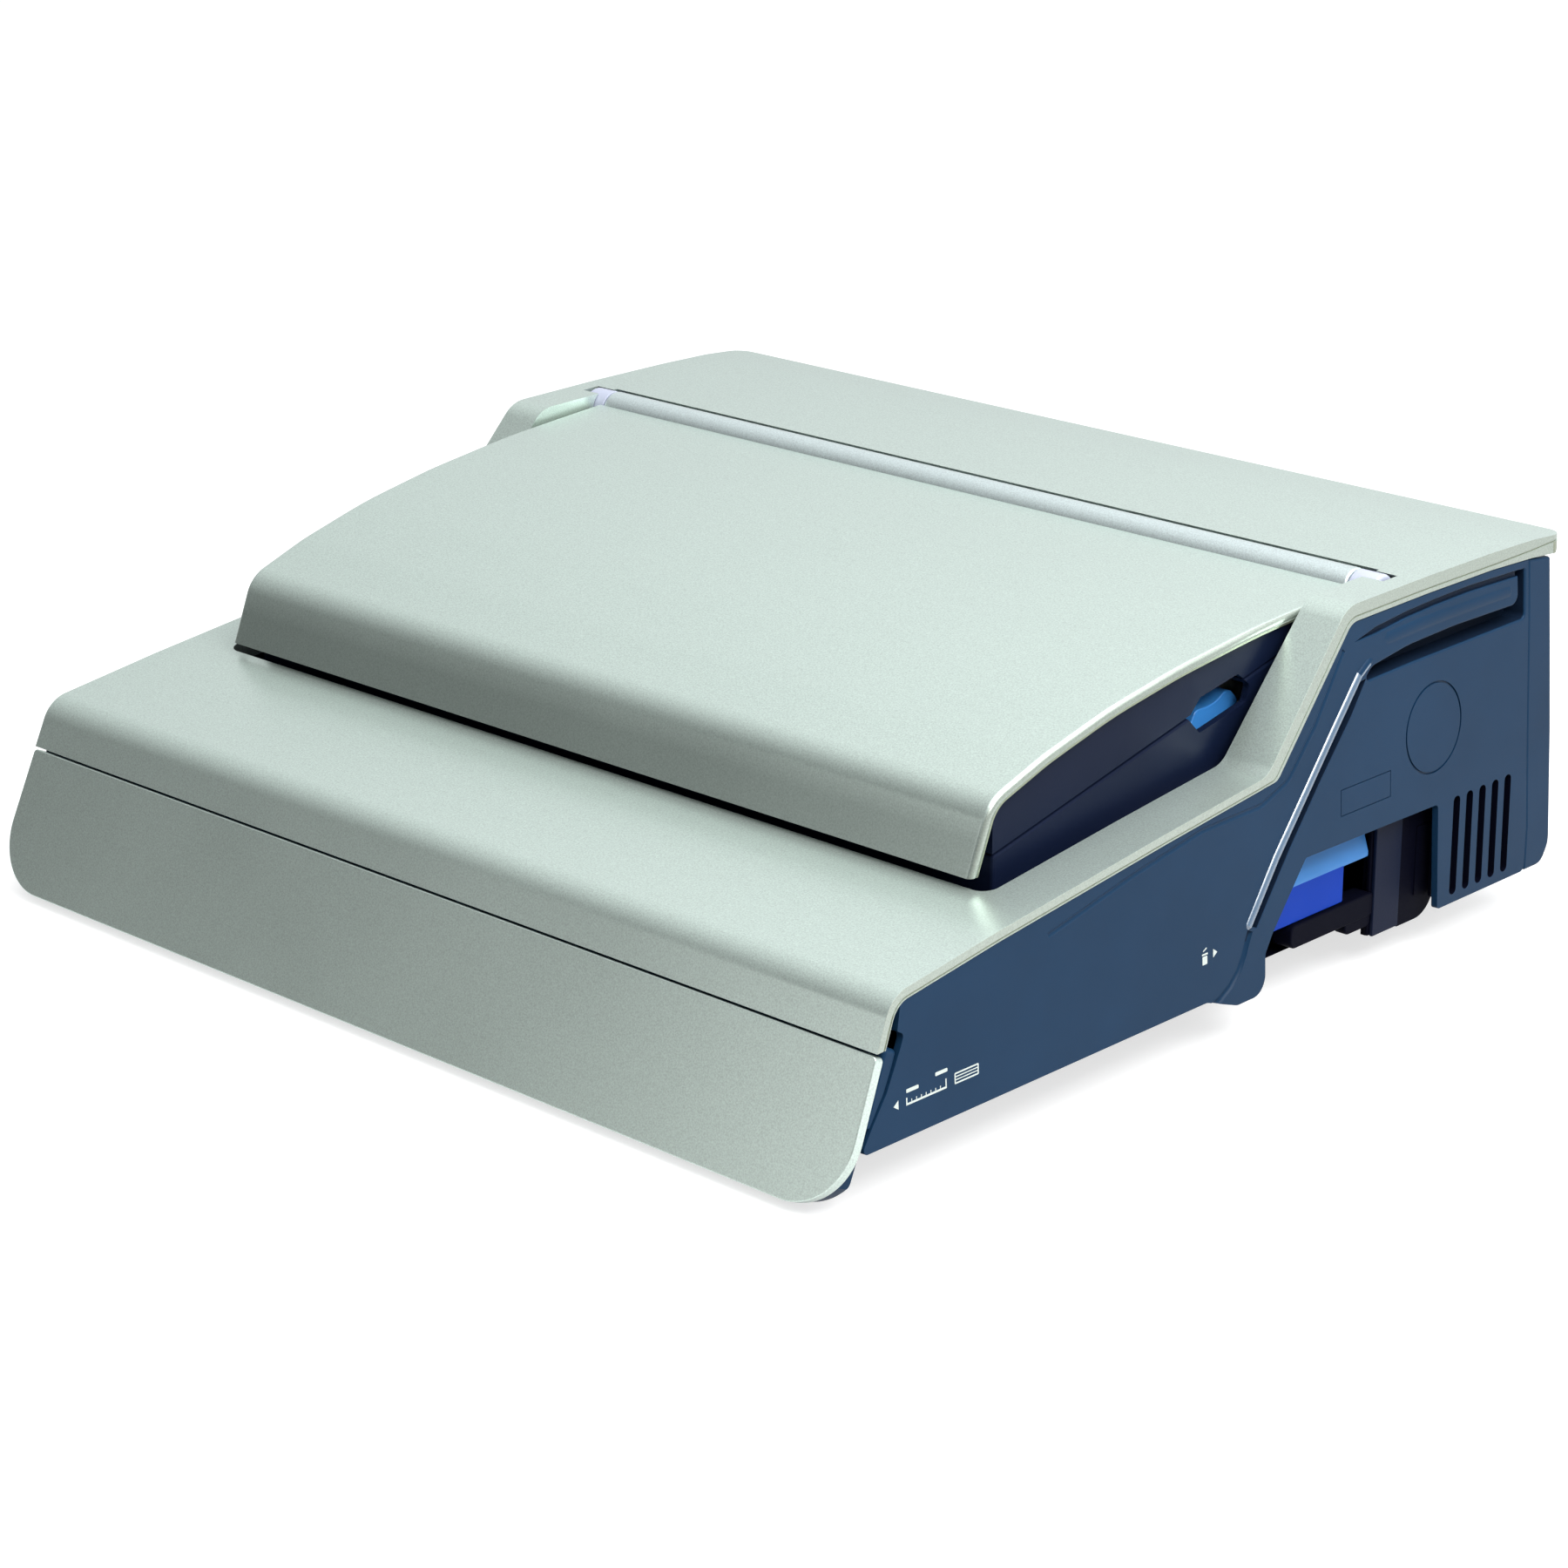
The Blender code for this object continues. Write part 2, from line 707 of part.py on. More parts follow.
def make_side_panel(side):
    """One side panel with its hand grip, the step below it and, on the right, the waste bay's opening."""
    tag = "right" if side > 0 else "left"
    outer = half_width(SEAM_Z) - 0.4

    def layer(name, outlines, out, back, helper=True):
        low, high = sorted((side * (outer - back), side * (outer - out)))
        return slab(name + "_" + tag, outlines, "x", low, high, helper)

    panel = layer("side_panel", [panel_outline(side)], 0.0, WALL, helper=False)
    round_edges(panel, 0.8, 1)
    helpers = [
        layer("grip_backing", [offset_closed(grip_outline(), 1.8)], WALL - 0.6, 13.0),
        layer("groove_backing", [offset_closed(groove_outline(), 2.0)], WALL - 0.6, 6.0),
    ]
    join(panel, *helpers)
    bar = sweep("side_rib_" + tag, rib_points(side, outer), RIB_RADIUS, helper=True)
    recesses = [
        layer("grip_pocket", [grip_outline()], -5.0, 10.6),
        layer("groove_pocket", [groove_outline()], -5.0, 4.2),
        layer("channel_pocket", [channel_outline()], -5.0, 1.8),
        layer("vent_slots", vent_outlines(), -5.0, 20.0),
    ]
    cut(panel, *recesses)
    join(panel, bar)
    helpers += [bar, *recesses]
    if side > 0:
        ring = [circle(CIRCLE_RADIUS + 0.45, CIRCLE_PLACE), circle(CIRCLE_RADIUS - 0.45, CIRCLE_PLACE)]
        frame = [rectangle(72.1, 106.2, 77.6, 89.0), rectangle(72.7, 105.6, 78.2, 88.4)]
        marks = [layer("round_mark", ring, -1.0, 0.7), layer("square_mark", frame, -1.0, 0.5)]
        cut(panel, *marks)
        helpers += marks
    lean_inward(side, outer, panel, *helpers)
    return finish(panel, "slate")


def lean_inward(side, outer, *objects):
    """Tips a flat panel and its helpers to the lean of the casing's sides."""
    pivot = Vector((side * outer, 0, SEAM_Z)) * MM
    tilt = Matrix.Rotation(-side * math.atan(SIDE_LEAN), 4, "Y")
    matrix = Matrix.Translation(pivot) @ tilt @ Matrix.Translation(-pivot)
    for obj in objects:
        obj.matrix_world = matrix


def offset_closed(outline, distance):
    """A closed outline that runs counter-clockwise, moved outward."""
    count = len(outline)
    moved = []
    for index in range(count):
        before = Vector(outline[index - 1])
        here = Vector(outline[index])
        after = Vector(outline[(index + 1) % count])
        into = (here - before).normalized()
        out = (after - here).normalized()
        first = Vector((into.y, -into.x))
        second = Vector((out.y, -out.x))
        mean = (first + second) / max(0.5, 1 + first.dot(second))
        moved.append(tuple(here + mean * distance))
    return moved


def panel_outline(side):
    """The panel's whole outline, as seen from the right. The right-hand one leaves the waste bay open."""
    top = between(offset_line(trim_line(), GAP), -192.0, 203.1)
    rear = [(203.8, 131.5), (204.2, 79.0), (205.0, 39.0), (203.5, PANEL_REAR_BOTTOM, 3)]
    bay = [(136.6, PANEL_REAR_BOTTOM, 1.5), (136.6, 65.7, 2), (49.0, 66.6, 2), (27.0, 40.8, 8), (22.3, 33.5, 4),
           (22.3, FOOT_BOTTOM, 11)]
    plain = [(28.0, PANEL_REAR_BOTTOM, 2), (20.0, FOOT_BOTTOM, 6)]
    front = [
        (4.0, FOOT_BOTTOM, 8),
        (-15.0, PANEL_BOTTOM, 6),
        (-215.2, PANEL_BOTTOM, 2),
        (-208.4, 33.8, 6),
        (-200.6, 44.0, 6),
        (-192.3, 59.6),
        (-190.4, 64.0, 2),
        (-194.0, 65.8, 1),
    ]
    middle = bay if side > 0 else plain
    return top + rounded([top[-1], *rear, *middle, *front, top[0]])[1:-1]


def rib_points(side, outer):
    """The rounded rib in front of the groove. Its ends sink into the panel."""
    depths = [RIB_RADIUS + 2.6, *[RIB_RADIUS - 0.6] * (len(RIB_LINE) - 2), RIB_RADIUS + 2.6]
    return [(side * (outer - depth), y, z) for (y, z), depth in zip(RIB_LINE, depths)]


def groove_outline():
    """The narrow groove from the foot up to the hand grip."""
    return GROOVE_REAR + GROOVE_FRONT[::-1]


def channel_outline():
    """The thin channel above the hand grip, with a pointed front end."""
    upper = [(y, z + CHANNEL_HALF) for y, z in CHANNEL_LINE[1:]]
    lower = [(y, z - CHANNEL_HALF) for y, z in CHANNEL_LINE[1:]]
    return [CHANNEL_LINE[0], *lower, *upper[::-1]]


def grip_outline():
    """The hand grip: a long pocket that turns up at its rear end."""
    corners = [
        (87.0, 130.3, 2),
        (120.0, 131.2),
        (201.0, 132.0, 2),
        (200.6, 153.4, 1),
        (195.6, 153.4, 1),
        (196.2, 139.2, 2),
        (150.0, 139.8),
        (118.0, 138.8),
        (93.0, 135.6, 4),
    ]
    return rounded(corners, step=30)


def vent_outlines():
    outlines = []
    for index in range(5):
        low, high = 150.6 + 9.35 * index, 153.4 + 9.3 * index
        outlines.append(rounded([(low - 2.4, 23.5, 2.3), (low + 2.4, 23.5, 2.3), (high + 2.4, 66.0, 2.3),
                                 (high - 2.4, 66.0, 2.3)], step=45))
    return outlines


def make_back_cover():
    """The back cover: a shallow tray with side returns, vents and the sockets' cut-outs."""
    outer = rounded([(205.4, 39.0), (204.6, 79.0), (204.2, 131.5), (203.5, 156.4), (219.7, 154.6), (221.2, 115.0),
                     (222.4, 79.0), (222.8, 27.5, 9), (217.0, 19.6, 7), (204.0, 19.6, 1)], step=20)
    cover = slab("back_cover", [outer], "x", -255, 255)
    keep(cover, envelope("back_envelope", inset=0.5, rear=260))
    round_edges(cover, 2.0, 2, angle=60)
    wall = 2.6
    inner = [(190, 22.2), (209, 22.2), (216.0, 25.5), (220.0, 33.0), (219.8, 79.0), (218.5, 115.0), (216.9, 161),
             (190, 161)]
    hollow = slab("back_hollow", [inner], "x", -255, 255, helper=True)
    keep(hollow, envelope("back_hollow_envelope", inset=0.5 + wall, rear=260))
    cutters = [hollow, block("inlet_window", (156.3, 205, 63.3), (183.7, 240, 83.7), helper=True),
               block("switch_window", (112.3, 205, 66.3), (127.7, 240, 80.7), helper=True)]
    for index in range(12):
        x = -150 + 11 * index
        cutters.append(block(f"back_vent_{index}", (x - 2, 205, 92), (x + 2, 240, 132), helper=True))
    cut(cover, *cutters)
    tongue = slab("back_tongue", [[(214.5, 151.0), (213.9, 160.4), (216.7, 160.4), (218.0, 151.0)]], "x", -255, 255,
                  helper=True)
    keep(tongue, envelope("tongue_envelope", inset=5.4, rear=260))
    join(cover, tongue)
    return finish(cover, "slate")


def make_base_tray():
    """The base: a tub with sloping lower sides, open to the front for the drawer."""
    tub = [(-BASE_HALF_LOW, BASE_BOTTOM), (BASE_HALF_LOW, BASE_BOTTOM), (BASE_HALF, BASE_SHOULDER),
           (BASE_HALF, BASE_TOP), (-BASE_HALF, BASE_TOP), (-BASE_HALF, BASE_SHOULDER)]
    tray = slab("base_tray", [tub], "y", -225, 201.5)
    inner = [(-204.4, FLOOR), (204.4, FLOOR), (235.5, 25.5), (235.5, 70), (-235.5, 70), (-235.5, 25.5)]
    hollow = slab("base_hollow", [inner], "y", -240, 199.0, helper=True)
    front = slanted_front("base_front", 16.5)
    bay = block("base_bay", (200, 30, 20), (260, 138, 80), helper=True)
    cut(tray, hollow, front, bay)
    ribs = [block(f"floor_rib_{index}", (-195, y - 1.2, FLOOR - 1), (195, y + 1.2, FLOOR + 4), helper=True)
            for index, y in enumerate((18.0, 104.5))]
    join(tray, *ribs)
    return finish(tray, "black")


def slanted_front(name, behind):
    """Everything in front of a plane parallel to the fascia."""
    low, high = -10.0, 90.0
    outline = [(-300, low), (fascia_y(low) + behind, low), (fascia_y(high) + behind, high), (-300, high)]
    return slab(name, [outline], "x", -300, 300, helper=True)


def make_feet():
    feet = []
    places = {"front_left": (-188, -176), "front_right": (188, -176), "rear_left": (-188, 184), "rear_right": (188, 184)}
    for tag, place in places.items():
        profile = [(0, BASE_BOTTOM - GAP), (10.5, BASE_BOTTOM - GAP), (10.5, 2.0), (9.0, 0.0), (0, 0.0)]
        feet.append(finish(turned("foot_" + tag, profile, "z", place, 14), "rubber"))
    return feet


# The lid

def lid_line():
    return rounded(LID_CORNERS, closed=False, step=10)


def make_lid():
    line = lid_line()
    shell = slab("lid_shell", [line + offset_line(line, 10)[::-1]], "x", -230, 230)
    keep(shell, lid_plan("lid_outer"))
    round_edges(shell, 3.0, 3)
    inner = extended(offset_line(line, 2.6), 140)
    hollow = slab("lid_hollow", [inner + [(140, 40), (inner[0][0], 40)]], "x", -230, 230, helper=True)
    keep(hollow, lid_plan("lid_inner", inset=2.6))
    edge = extended(offset_line(line, LID_EDGE), 140)
    below = slab("lid_below", [edge + [(140, 40), (edge[0][0], 40)]], "x", -240, 240, helper=True)
    front = block("lid_front_cut", (-240, -140, 40), (240, -90, LID_FRONT_Z), helper=True)
    cut(shell, hollow, below, front)
    cut(shell, rod("lid_barrel_clearance", BARREL_RADIUS + GAP, "x", -240, 240, (HINGE_Y, HINGE_Z), 24, helper=True))
    return [finish(shell, "silver"), make_liner(line), make_barrel()]


def make_liner(line):
    """The dark liner inside the lid, down to the parting line, with the finger notch on the right."""
    above = between(offset_line(line, LID_EDGE + GAP), -105.0, 103.0)
    lower = [(103.0, THROAT_TOP + 1.0), (74.2, THROAT_TOP + 1.0), (70.4, parting_z(70.4) + 0.6),
             (-105.0, parting_z(-105.0) + 0.6)]
    liner = slab("lid_liner", [above + lower], "x", -230, 230)
    keep(liner, lid_plan("liner_outer", inset=2.2))
    inner = between(extended(offset_line(line, LID_EDGE + GAP + 2.6), 140), -102.4, 130.0)
    hollow = slab("liner_hollow", [inner + [(130, 60), (-102.4, 60)]], "x", -230, 230, helper=True)
    keep(hollow, lid_plan("liner_inner", inset=4.8))
    cut(liner, hollow, notch_cutter("liner_notch"))
    return finish(liner, "charcoal")


def notch_cutter(name):
    """The six-sided finger notch that crosses the parting line, in the right-hand walls."""
    corners = [(3.0, -0.5), (11.5, 5.0, 1), (35.2, 3.8, 1), (41.5, -4.0, 2), (38.0, -10.3, 2), (8.6, -9.6, 1)]
    notch = slab(name, [rounded(corners)], "x", 200, 230, helper=True)
    return on_slope(notch)


def make_barrel():
    bore, depth, end = PIN_RADIUS + GAP, 26.0, BARREL_HALF
    profile = [(0, end - depth), (bore, end - depth), (bore, end), (BARREL_RADIUS - 0.6, end),
               (BARREL_RADIUS, end - 0.6), (BARREL_RADIUS, -end + 0.6), (BARREL_RADIUS - 0.6, -end),
               (bore, -end), (bore, -end + depth), (0, -end + depth)]
    barrel = turned("hinge_barrel", profile, "x", (HINGE_Y, HINGE_Z), 24)
    return finish(barrel, "silver")


def make_hinge_pins():
    pieces = []
    for side, tag in ((-1, "left"), (1, "right")):
        start, end = sorted((side * (BARREL_HALF - 24), side * (BARREL_HALF + 5.2)))
        pin = rod("hinge_pin_" + tag, PIN_RADIUS, "x", start, end, (HINGE_Y, HINGE_Z), 20)
        inner, outer = side * (BARREL_HALF + 0.6), side * CAP_END
        socket, radius = PIN_RADIUS + GAP, BARREL_RADIUS - 0.2
        profile = [(0, inner + side * 5), (socket, inner + side * 5), (socket, inner), (radius, inner),
                   (radius, outer - side * 1.2), (radius - 1.2, outer), (0, outer)]
        cap = turned("hinge_cap_" + tag, profile, "x", (HINGE_Y, HINGE_Z), 16)
        pieces += [finish(pin, "steel"), finish(cap, "pale")]
    return pieces


# The work body and what is on it

def make_work_body():
    """The dark body under the lid: a shell with the throat, the closer's channel and the lever's slot."""
    front_top = parting_z(BODY_FRONT) - 0.5
    outer = rounded([(BODY_FRONT, BODY_BOTTOM), (BODY_REAR, BODY_BOTTOM), (BODY_REAR, THROAT_TOP),
                     (73.5, THROAT_TOP, 1.5), (70.0, parting_z(70.0) - 0.5, 3), (BODY_FRONT, front_top)])
    body = slab("work_body", [outer], "x", -230, 230)
    keep(body, lid_plan("body_outer", inset=2.4))
    round_edges(body, 1.2, 2)
    flange = slab("body_flange", [rectangle(-226, 226, -119, 6, 6)], "z", BODY_BOTTOM, BODY_BOTTOM + 2.6,
                  helper=True)
    join(body, flange)
    inner = [(BODY_FRONT + WALL, 40), (120, 40), (120, THROAT_TOP - WALL), (75.0, THROAT_TOP - WALL),
             (71.6, parting_z(71.6) - 0.5 - WALL), (BODY_FRONT + WALL, front_top - WALL + 0.6)]
    hollow = slab("body_hollow", [inner], "x", -230, 230, helper=True)
    keep(hollow, lid_plan("body_inner", inset=2.4 + WALL))
    gap_front = DIE_FRONT + DIE_THICKNESS + 0.2
    cutters = [
        hollow,
        block("throat_slot", (-156.5, gap_front, 138), (156.5, gap_front + PAPER_GAP - 0.4, 150), helper=True),
        on_slope(block("closer_channel", (-171, -62.5, -10), (171, -28.5, 10), helper=True)),
        on_slope(block("lever_slot", (LEVER_X - 1.5, -22, -12), (LEVER_X + LEVER_WIDTH + 1.5, 46, 12), helper=True)),
        rod("button_hole", 8.4, "z", 130, 160, (186, 88), 20, helper=True),
        on_slope(rod("dial_hole", 5.0, "z", -12, 12, (-188, -45), 20, helper=True)),
        notch_cutter("body_notch"),
    ]
    cut(body, *cutters)
    return finish(body, "charcoal")


def make_wire_comb():
    """The row of small posts that the open wire hangs on while sheets are loaded."""
    top, valley = 9.5, 2.6
    outline = [(-146, 0.2), (146, 0.2), (146, valley)]
    for index in reversed(range(PIN_COUNT)):
        x = pin_x(index)
        outline += [(x + 1.1, valley), (x + 0.8, top), (x - 0.8, top), (x - 1.1, valley)]
    outline.append((-146, valley))
    comb = slab("wire_comb", [outline], "y", -14.2, -12.2)
    foot = block("comb_foot", (-146, -18.0, 0.2), (146, -12.2, 1.8), helper=True)
    on_slope(comb, foot)
    join(comb, foot)
    return finish(comb, "charcoal")


def pin_x(index):
    return (index - (PIN_COUNT - 1) / 2) * PITCH


def make_button():
    """The punch button: a cap with a collar that holds it under the body's skin."""
    profile = [(0, 149.0), (6.8, 149.0), (8.0, 148.0), (8.0, 142.0), (10.0, 142.0), (10.0, 139.6), (0, 139.6)]
    button = finish(turned("punch_button", profile, "z", (186, 88), 20), "blue")
    hang(axis_empty("punch_button_axis", 88, 145.6, 186), button)
    return button


def make_dial():
    """The wire size dial on the left of the work surface, with a finger bar across it."""
    profile = [(0, 4.0), (13.2, 4.0), (14.0, 3.2), (14.0, 0.2), (4.6, 0.2), (4.6, -7.0), (0, -7.0)]
    dial = turned("wire_size_dial", profile, "z", (-188, -45), 20)
    bar = slab("dial_bar", [rectangle(-190.4, -185.6, -57, -33, 1.6)], "z", 3.0, 9.0, helper=True)
    on_slope(dial, bar)
    join(dial, bar)
    finish(dial, "black")
    y, z = slope_point(-45, 0)
    hang(axis_empty("wire_size_dial_axis", y, z, -188), dial)
    return dial


def make_edge_guide():
    """The paper's edge guide: a plate on the body with a fin in the throat."""
    front = DIE_FRONT + DIE_THICKNESS + 0.55
    guide = slab("edge_guide", [rectangle(-178, -153, 76.5, 97, 2)], "z", THROAT_TOP + GAP, THROAT_TOP + 3.0)
    fin = block("edge_fin", (-155.6, front, 122), (-153, front + PAPER_GAP - 1.1, THROAT_TOP + 1), helper=True)
    grip = slab("edge_grip", [rectangle(-176, -171, 79, 94.5, 1.5)], "z", THROAT_TOP + 2, THROAT_TOP + 5.5,
                helper=True)
    join(guide, fin, grip)
    finish(guide, "blue")
    hang(axis_empty("edge_guide_axis", 88, THROAT_TOP, -166), guide)
    return guide


# The wire closer

def make_jaws():
    """The fixed jaw with the wire's bed, and the sliding jaw with its hollowed face."""
    fixed = rounded([(-70, -6.6), (-60, -6.6), (-60, -12), (-24, -12), (-24, -9.2, 1), (-52.5, -9.2, 2),
                     (-56, -6.0, 2), (-56, 7, 1), (-60, 7, 1), (-60, -3.5), (-70, -3.5)])
    anvil = on_slope(slab("closer_fixed_jaw", [fixed], "x", -JAW_HALF, JAW_HALF))
    face = [(-38.0, -8.6), (-31.0, -8.6), (-31.0, 7.0), (-38.0, 7.0)]
    hollow = [(-38.0 + 2.6 * math.sin(math.pi * k / 6), 4.5 - 9.0 * k / 6) for k in range(7)]
    jaw = slab("closer_jaw", [face[:3] + [face[3]] + hollow], "x", -159.4, 159.4)
    on_slope(jaw)
    finish(anvil, "zinc")
    finish(jaw, "steel")
    return anvil, jaw


def make_rack(side):
    """One rack, beside the jaw's end, with an arm up to the jaw."""
    spacing = math.pi * SECTOR_MODULE
    pitch_v = CLOSER_V + SECTOR_MODULE * SECTOR_TEETH / 2 + 0.1
    teeth = rack_teeth(SECTOR_MODULE, pitch_v, CLOSER_U - 2.5 * spacing, 7)
    top = -9.4
    outline = [(31.5, top), (-31.0, top), (-31.0, 4.0), (-38.0, 4.0), (-38.0, pitch_v + 1.25 * SECTOR_MODULE)]
    tag = "right" if side > 0 else "left"
    low, high = sorted((side * RACK_X, side * (RACK_X + RACK_WIDTH)))
    rack = slab("closer_rack_" + tag, [outline + teeth + [(31.5, pitch_v + 1.25 * SECTOR_MODULE)]], "x", low, high)
    on_slope(rack)
    return finish(rack, "nylon")


def make_sector(side):
    outline = sector_outline(SECTOR_MODULE, SECTOR_TEETH, (CLOSER_U, CLOSER_V), 90.0 - 360.0 / SECTOR_TEETH, 9, 10.0)
    tag = "right" if side > 0 else "left"
    low, high = sorted((side * RACK_X, side * (RACK_X + RACK_WIDTH)))
    bore = circle(CLOSER_SHAFT_RADIUS + GAP, (CLOSER_U, CLOSER_V), 20)
    sector = slab("closer_sector_" + tag, [outline, bore], "x", low, high)
    on_slope(sector)
    return finish(sector, "nylon")


def make_lever():
    """The closer's lever: a hub on the shaft, an arm and a finger grip that lies in the notch."""
    grip = [(12.0, -12.6, 1), (18.0, -6.4, 3), (24.5, -8.2, 8), (31.0, -8.8, 8), (36.5, -7.2, 5), (40.5, -8.4, 3),
            (44.4, -14.6, 2), (41.0, -17.5, 3), (31.0, -18.5, 6), (18.5, -46.0, 4), (5.5, -46.0, 4),
            (13.5, -18.0, 5), (10.5, -15.5, 2)]
    arm = rounded(grip[::-1], step=20)
    lever = slab("closer_lever", [arm], "x", LEVER_X, LEVER_X + LEVER_WIDTH)
    hub = rod("lever_hub", 11.0, "x", LEVER_X, LEVER_X + LEVER_WIDTH, (CLOSER_U, CLOSER_V), 20, helper=True)
    bore = rod("lever_bore", CLOSER_SHAFT_RADIUS + GAP, "x", LEVER_X - 5, LEVER_X + LEVER_WIDTH + 5,
               (CLOSER_U, CLOSER_V), 20, helper=True)
    on_slope(lever, hub, bore)
    round_edges(lever, 1.2, 1, angle=60)
    join(lever, hub)
    cut(lever, bore)
    return finish(lever, "blue")


def make_closer():
    anvil, jaw = make_jaws()
    racks = [make_rack(side) for side in (-1, 1)]
    sectors = [make_sector(side) for side in (-1, 1)]
    lever = make_lever()
    y, z = slope_point(CLOSER_U, CLOSER_V)
    shaft = finish(rod("closer_shaft", CLOSER_SHAFT_RADIUS, "x", -181, LEVER_X + LEVER_WIDTH, (y, z), 20), "steel")
    hang(axis_empty("closer_lever_axis", y, z), lever, shaft, *sectors)
    y, z = slope_point(-34.5, -1.0)
    hang(axis_empty("closer_jaw_axis", y, z), jaw, *racks)
    hangers = []
    for side, tag in ((-1, "left"), (1, "right")):
        corners = [(0, -3.8), (4, -64, 5), (20, -64, 5), (24, -3.8)]
        hole = circle(CLOSER_SHAFT_RADIUS + GAP, (CLOSER_U, CLOSER_V), 20)
        low, high = sorted((side * 171.5, side * 177.5))
        hanger = slab("closer_hanger_" + tag, [rounded(corners), hole], "x", low, high)
        on_slope(hanger)
        hangers.append(finish(hanger, "zinc"))
    return [anvil, jaw, lever, shaft, *racks, *sectors, *hangers]


# The punch unit

def square_hole(x):
    return rectangle(x - HOLE_HALF, x + HOLE_HALF, PUNCH_Z - HOLE_HALF, PUNCH_Z + HOLE_HALF)


def make_die_and_stripper():
    """The die and the stripper: two plates with a row of square holes, the paper's gap between them."""
    holes = [square_hole(pin_x(index)) for index in range(PIN_COUNT)]
    plate = rectangle(-FRAME_X + 0.4, FRAME_X - 0.4, 102, 140, 0)
    die_back = DIE_FRONT + DIE_THICKNESS
    die = slab("die_plate", [plate, *holes], "y", DIE_FRONT, die_back)
    stripper_front = die_back + PAPER_GAP
    stripper = slab("stripper_plate", [plate, *holes], "y", stripper_front, stripper_front + DIE_THICKNESS)
    stop = block("paper_stop", (-152, die_back + GAP, 104), (152, stripper_front - GAP, 113))
    return [finish(die, "steel"), finish(stripper, "zinc"), finish(stop, "black")]


def make_ram():
    """The pin bar and the ram behind it, whose tongues slide in the side frames."""
    tip = DIE_FRONT + DIE_THICKNESS + PAPER_GAP + 1.3
    spine_front, spine_rear = 110.0, 114.5
    comb = [(-146, spine_rear - 1), (-146, spine_front)]
    for index in range(PIN_COUNT):
        x = pin_x(index)
        comb += [(x - PIN_HALF, spine_front), (x - PIN_HALF, tip), (x + PIN_HALF, tip), (x + PIN_HALF, spine_front)]
    comb += [(146, spine_front), (146, spine_rear - 1)]
    pins = slab("punch_pin_bar", [comb], "z", PUNCH_Z - PIN_HALF, PUNCH_Z + PIN_HALF)
    spine = block("pin_spine", (-148, spine_front - 0.6, 112), (148, spine_rear, 128), helper=True)
    join(pins, spine)
    front, rear = spine_rear + GAP, 124.5
    ram = block("punch_ram", (-159.2, front, 107), (159.2, rear, 134))
    tongue = block("ram_tongue", (-170, front, 112.4), (170, rear, 129.6), helper=True)
    join(ram, tongue)
    for side in (-1, 1):
        low, high = sorted((side * (CAM_X - 6), side * (CAM_X + 6)))
        nose = rounded([(rear - 2, 111), (rear + 1.5, 111, 1), (rear + 2.5, 115), (rear + 2.5, 125),
                        (rear + 1.5, 129, 1), (rear - 2, 129)])
        centre_y = CAM_Y - CAM_START
        tip_bar = rod(f"nose_{side}", NOSE_RADIUS, "x", low, high, (centre_y, CAM_Z), 20, helper=True)
        join(ram, slab(f"nose_block_{side}", [nose], "x", low, high, helper=True), tip_bar)
    finish(pins, "steel")
    finish(ram, "zinc")
    hang(axis_empty("punch_ram_axis", front, PUNCH_Z), pins, ram)
    return [pins, ram]


def make_side_frames():
    """The two plates that carry the die, the stripper, the ram and the camshaft."""
    pieces = []
    outline = rounded([(76.5, 97), (104, 97, 3), (113.5, 88, 3), (113.5, FLOOR + GAP), (178, FLOOR + GAP),
                       (178, 132, 6), (168, 141, 6), (76.5, 141)])
    slot = rectangle(99.0, 126.0, 111.8, 130.2, 0)
    hole = circle(11.0, (CAM_Y, CAM_Z), 20)
    window = rectangle(124, 168, 24, 82, 8)
    for side, tag in ((-1, "left"), (1, "right")):
        low, high = sorted((side * FRAME_X, side * (FRAME_X + FRAME_THICKNESS)))
        frame = slab("side_frame_" + tag, [outline, slot, hole, window], "x", low, high)
        low, high = sorted((side * (FRAME_X - 1.5), side * (FRAME_X + FRAME_THICKNESS + 2)))
        ring = [circle(11.0 - GAP, (CAM_Y, CAM_Z), 20), circle(SHAFT_RADIUS + GAP, (CAM_Y, CAM_Z), 20)]
        bush = slab("cam_bush_" + tag, ring, "x", low, high)
        pieces += [finish(frame, "zinc"), finish(bush, "brass")]
    return pieces


def make_camshaft():
    bore = circle(SHAFT_RADIUS + GAP, (CAM_Y, CAM_Z), 20)
    shaft = finish(rod("cam_shaft", SHAFT_RADIUS, "x", -172, 172, (CAM_Y, CAM_Z), 20), "steel")
    pieces = [shaft]
    for side, tag in ((-1, "left"), (1, "right")):
        low, high = sorted((side * (CAM_X - 5), side * (CAM_X + 5)))
        pieces.append(finish(slab("cam_" + tag, [cam_outline(), bore], "x", low, high), "steel"))
    teeth = gear_outline(GEAR_MODULE, GEAR_TEETH, (CAM_Y, CAM_Z), MOTOR_DIRECTION)
    webs = [circle(4.4, (CAM_Y + 15.2 * math.cos(a), CAM_Z + 15.2 * math.sin(a)), 6)
            for a in (math.radians(60 * k + 20) for k in range(6))]
    pieces.append(finish(slab("drive_gear", [teeth, bore, *webs], "x", 40, 50), "nylon"))
    hang(axis_empty("cam_shaft_axis", CAM_Y, CAM_Z), *pieces)
    return pieces


def motor_axis():
    distance = GEAR_MODULE * (GEAR_TEETH + PINION_TEETH) / 2 + 0.1
    angle = math.radians(MOTOR_DIRECTION)
    return CAM_Y + distance * math.cos(angle), CAM_Z + distance * math.sin(angle)


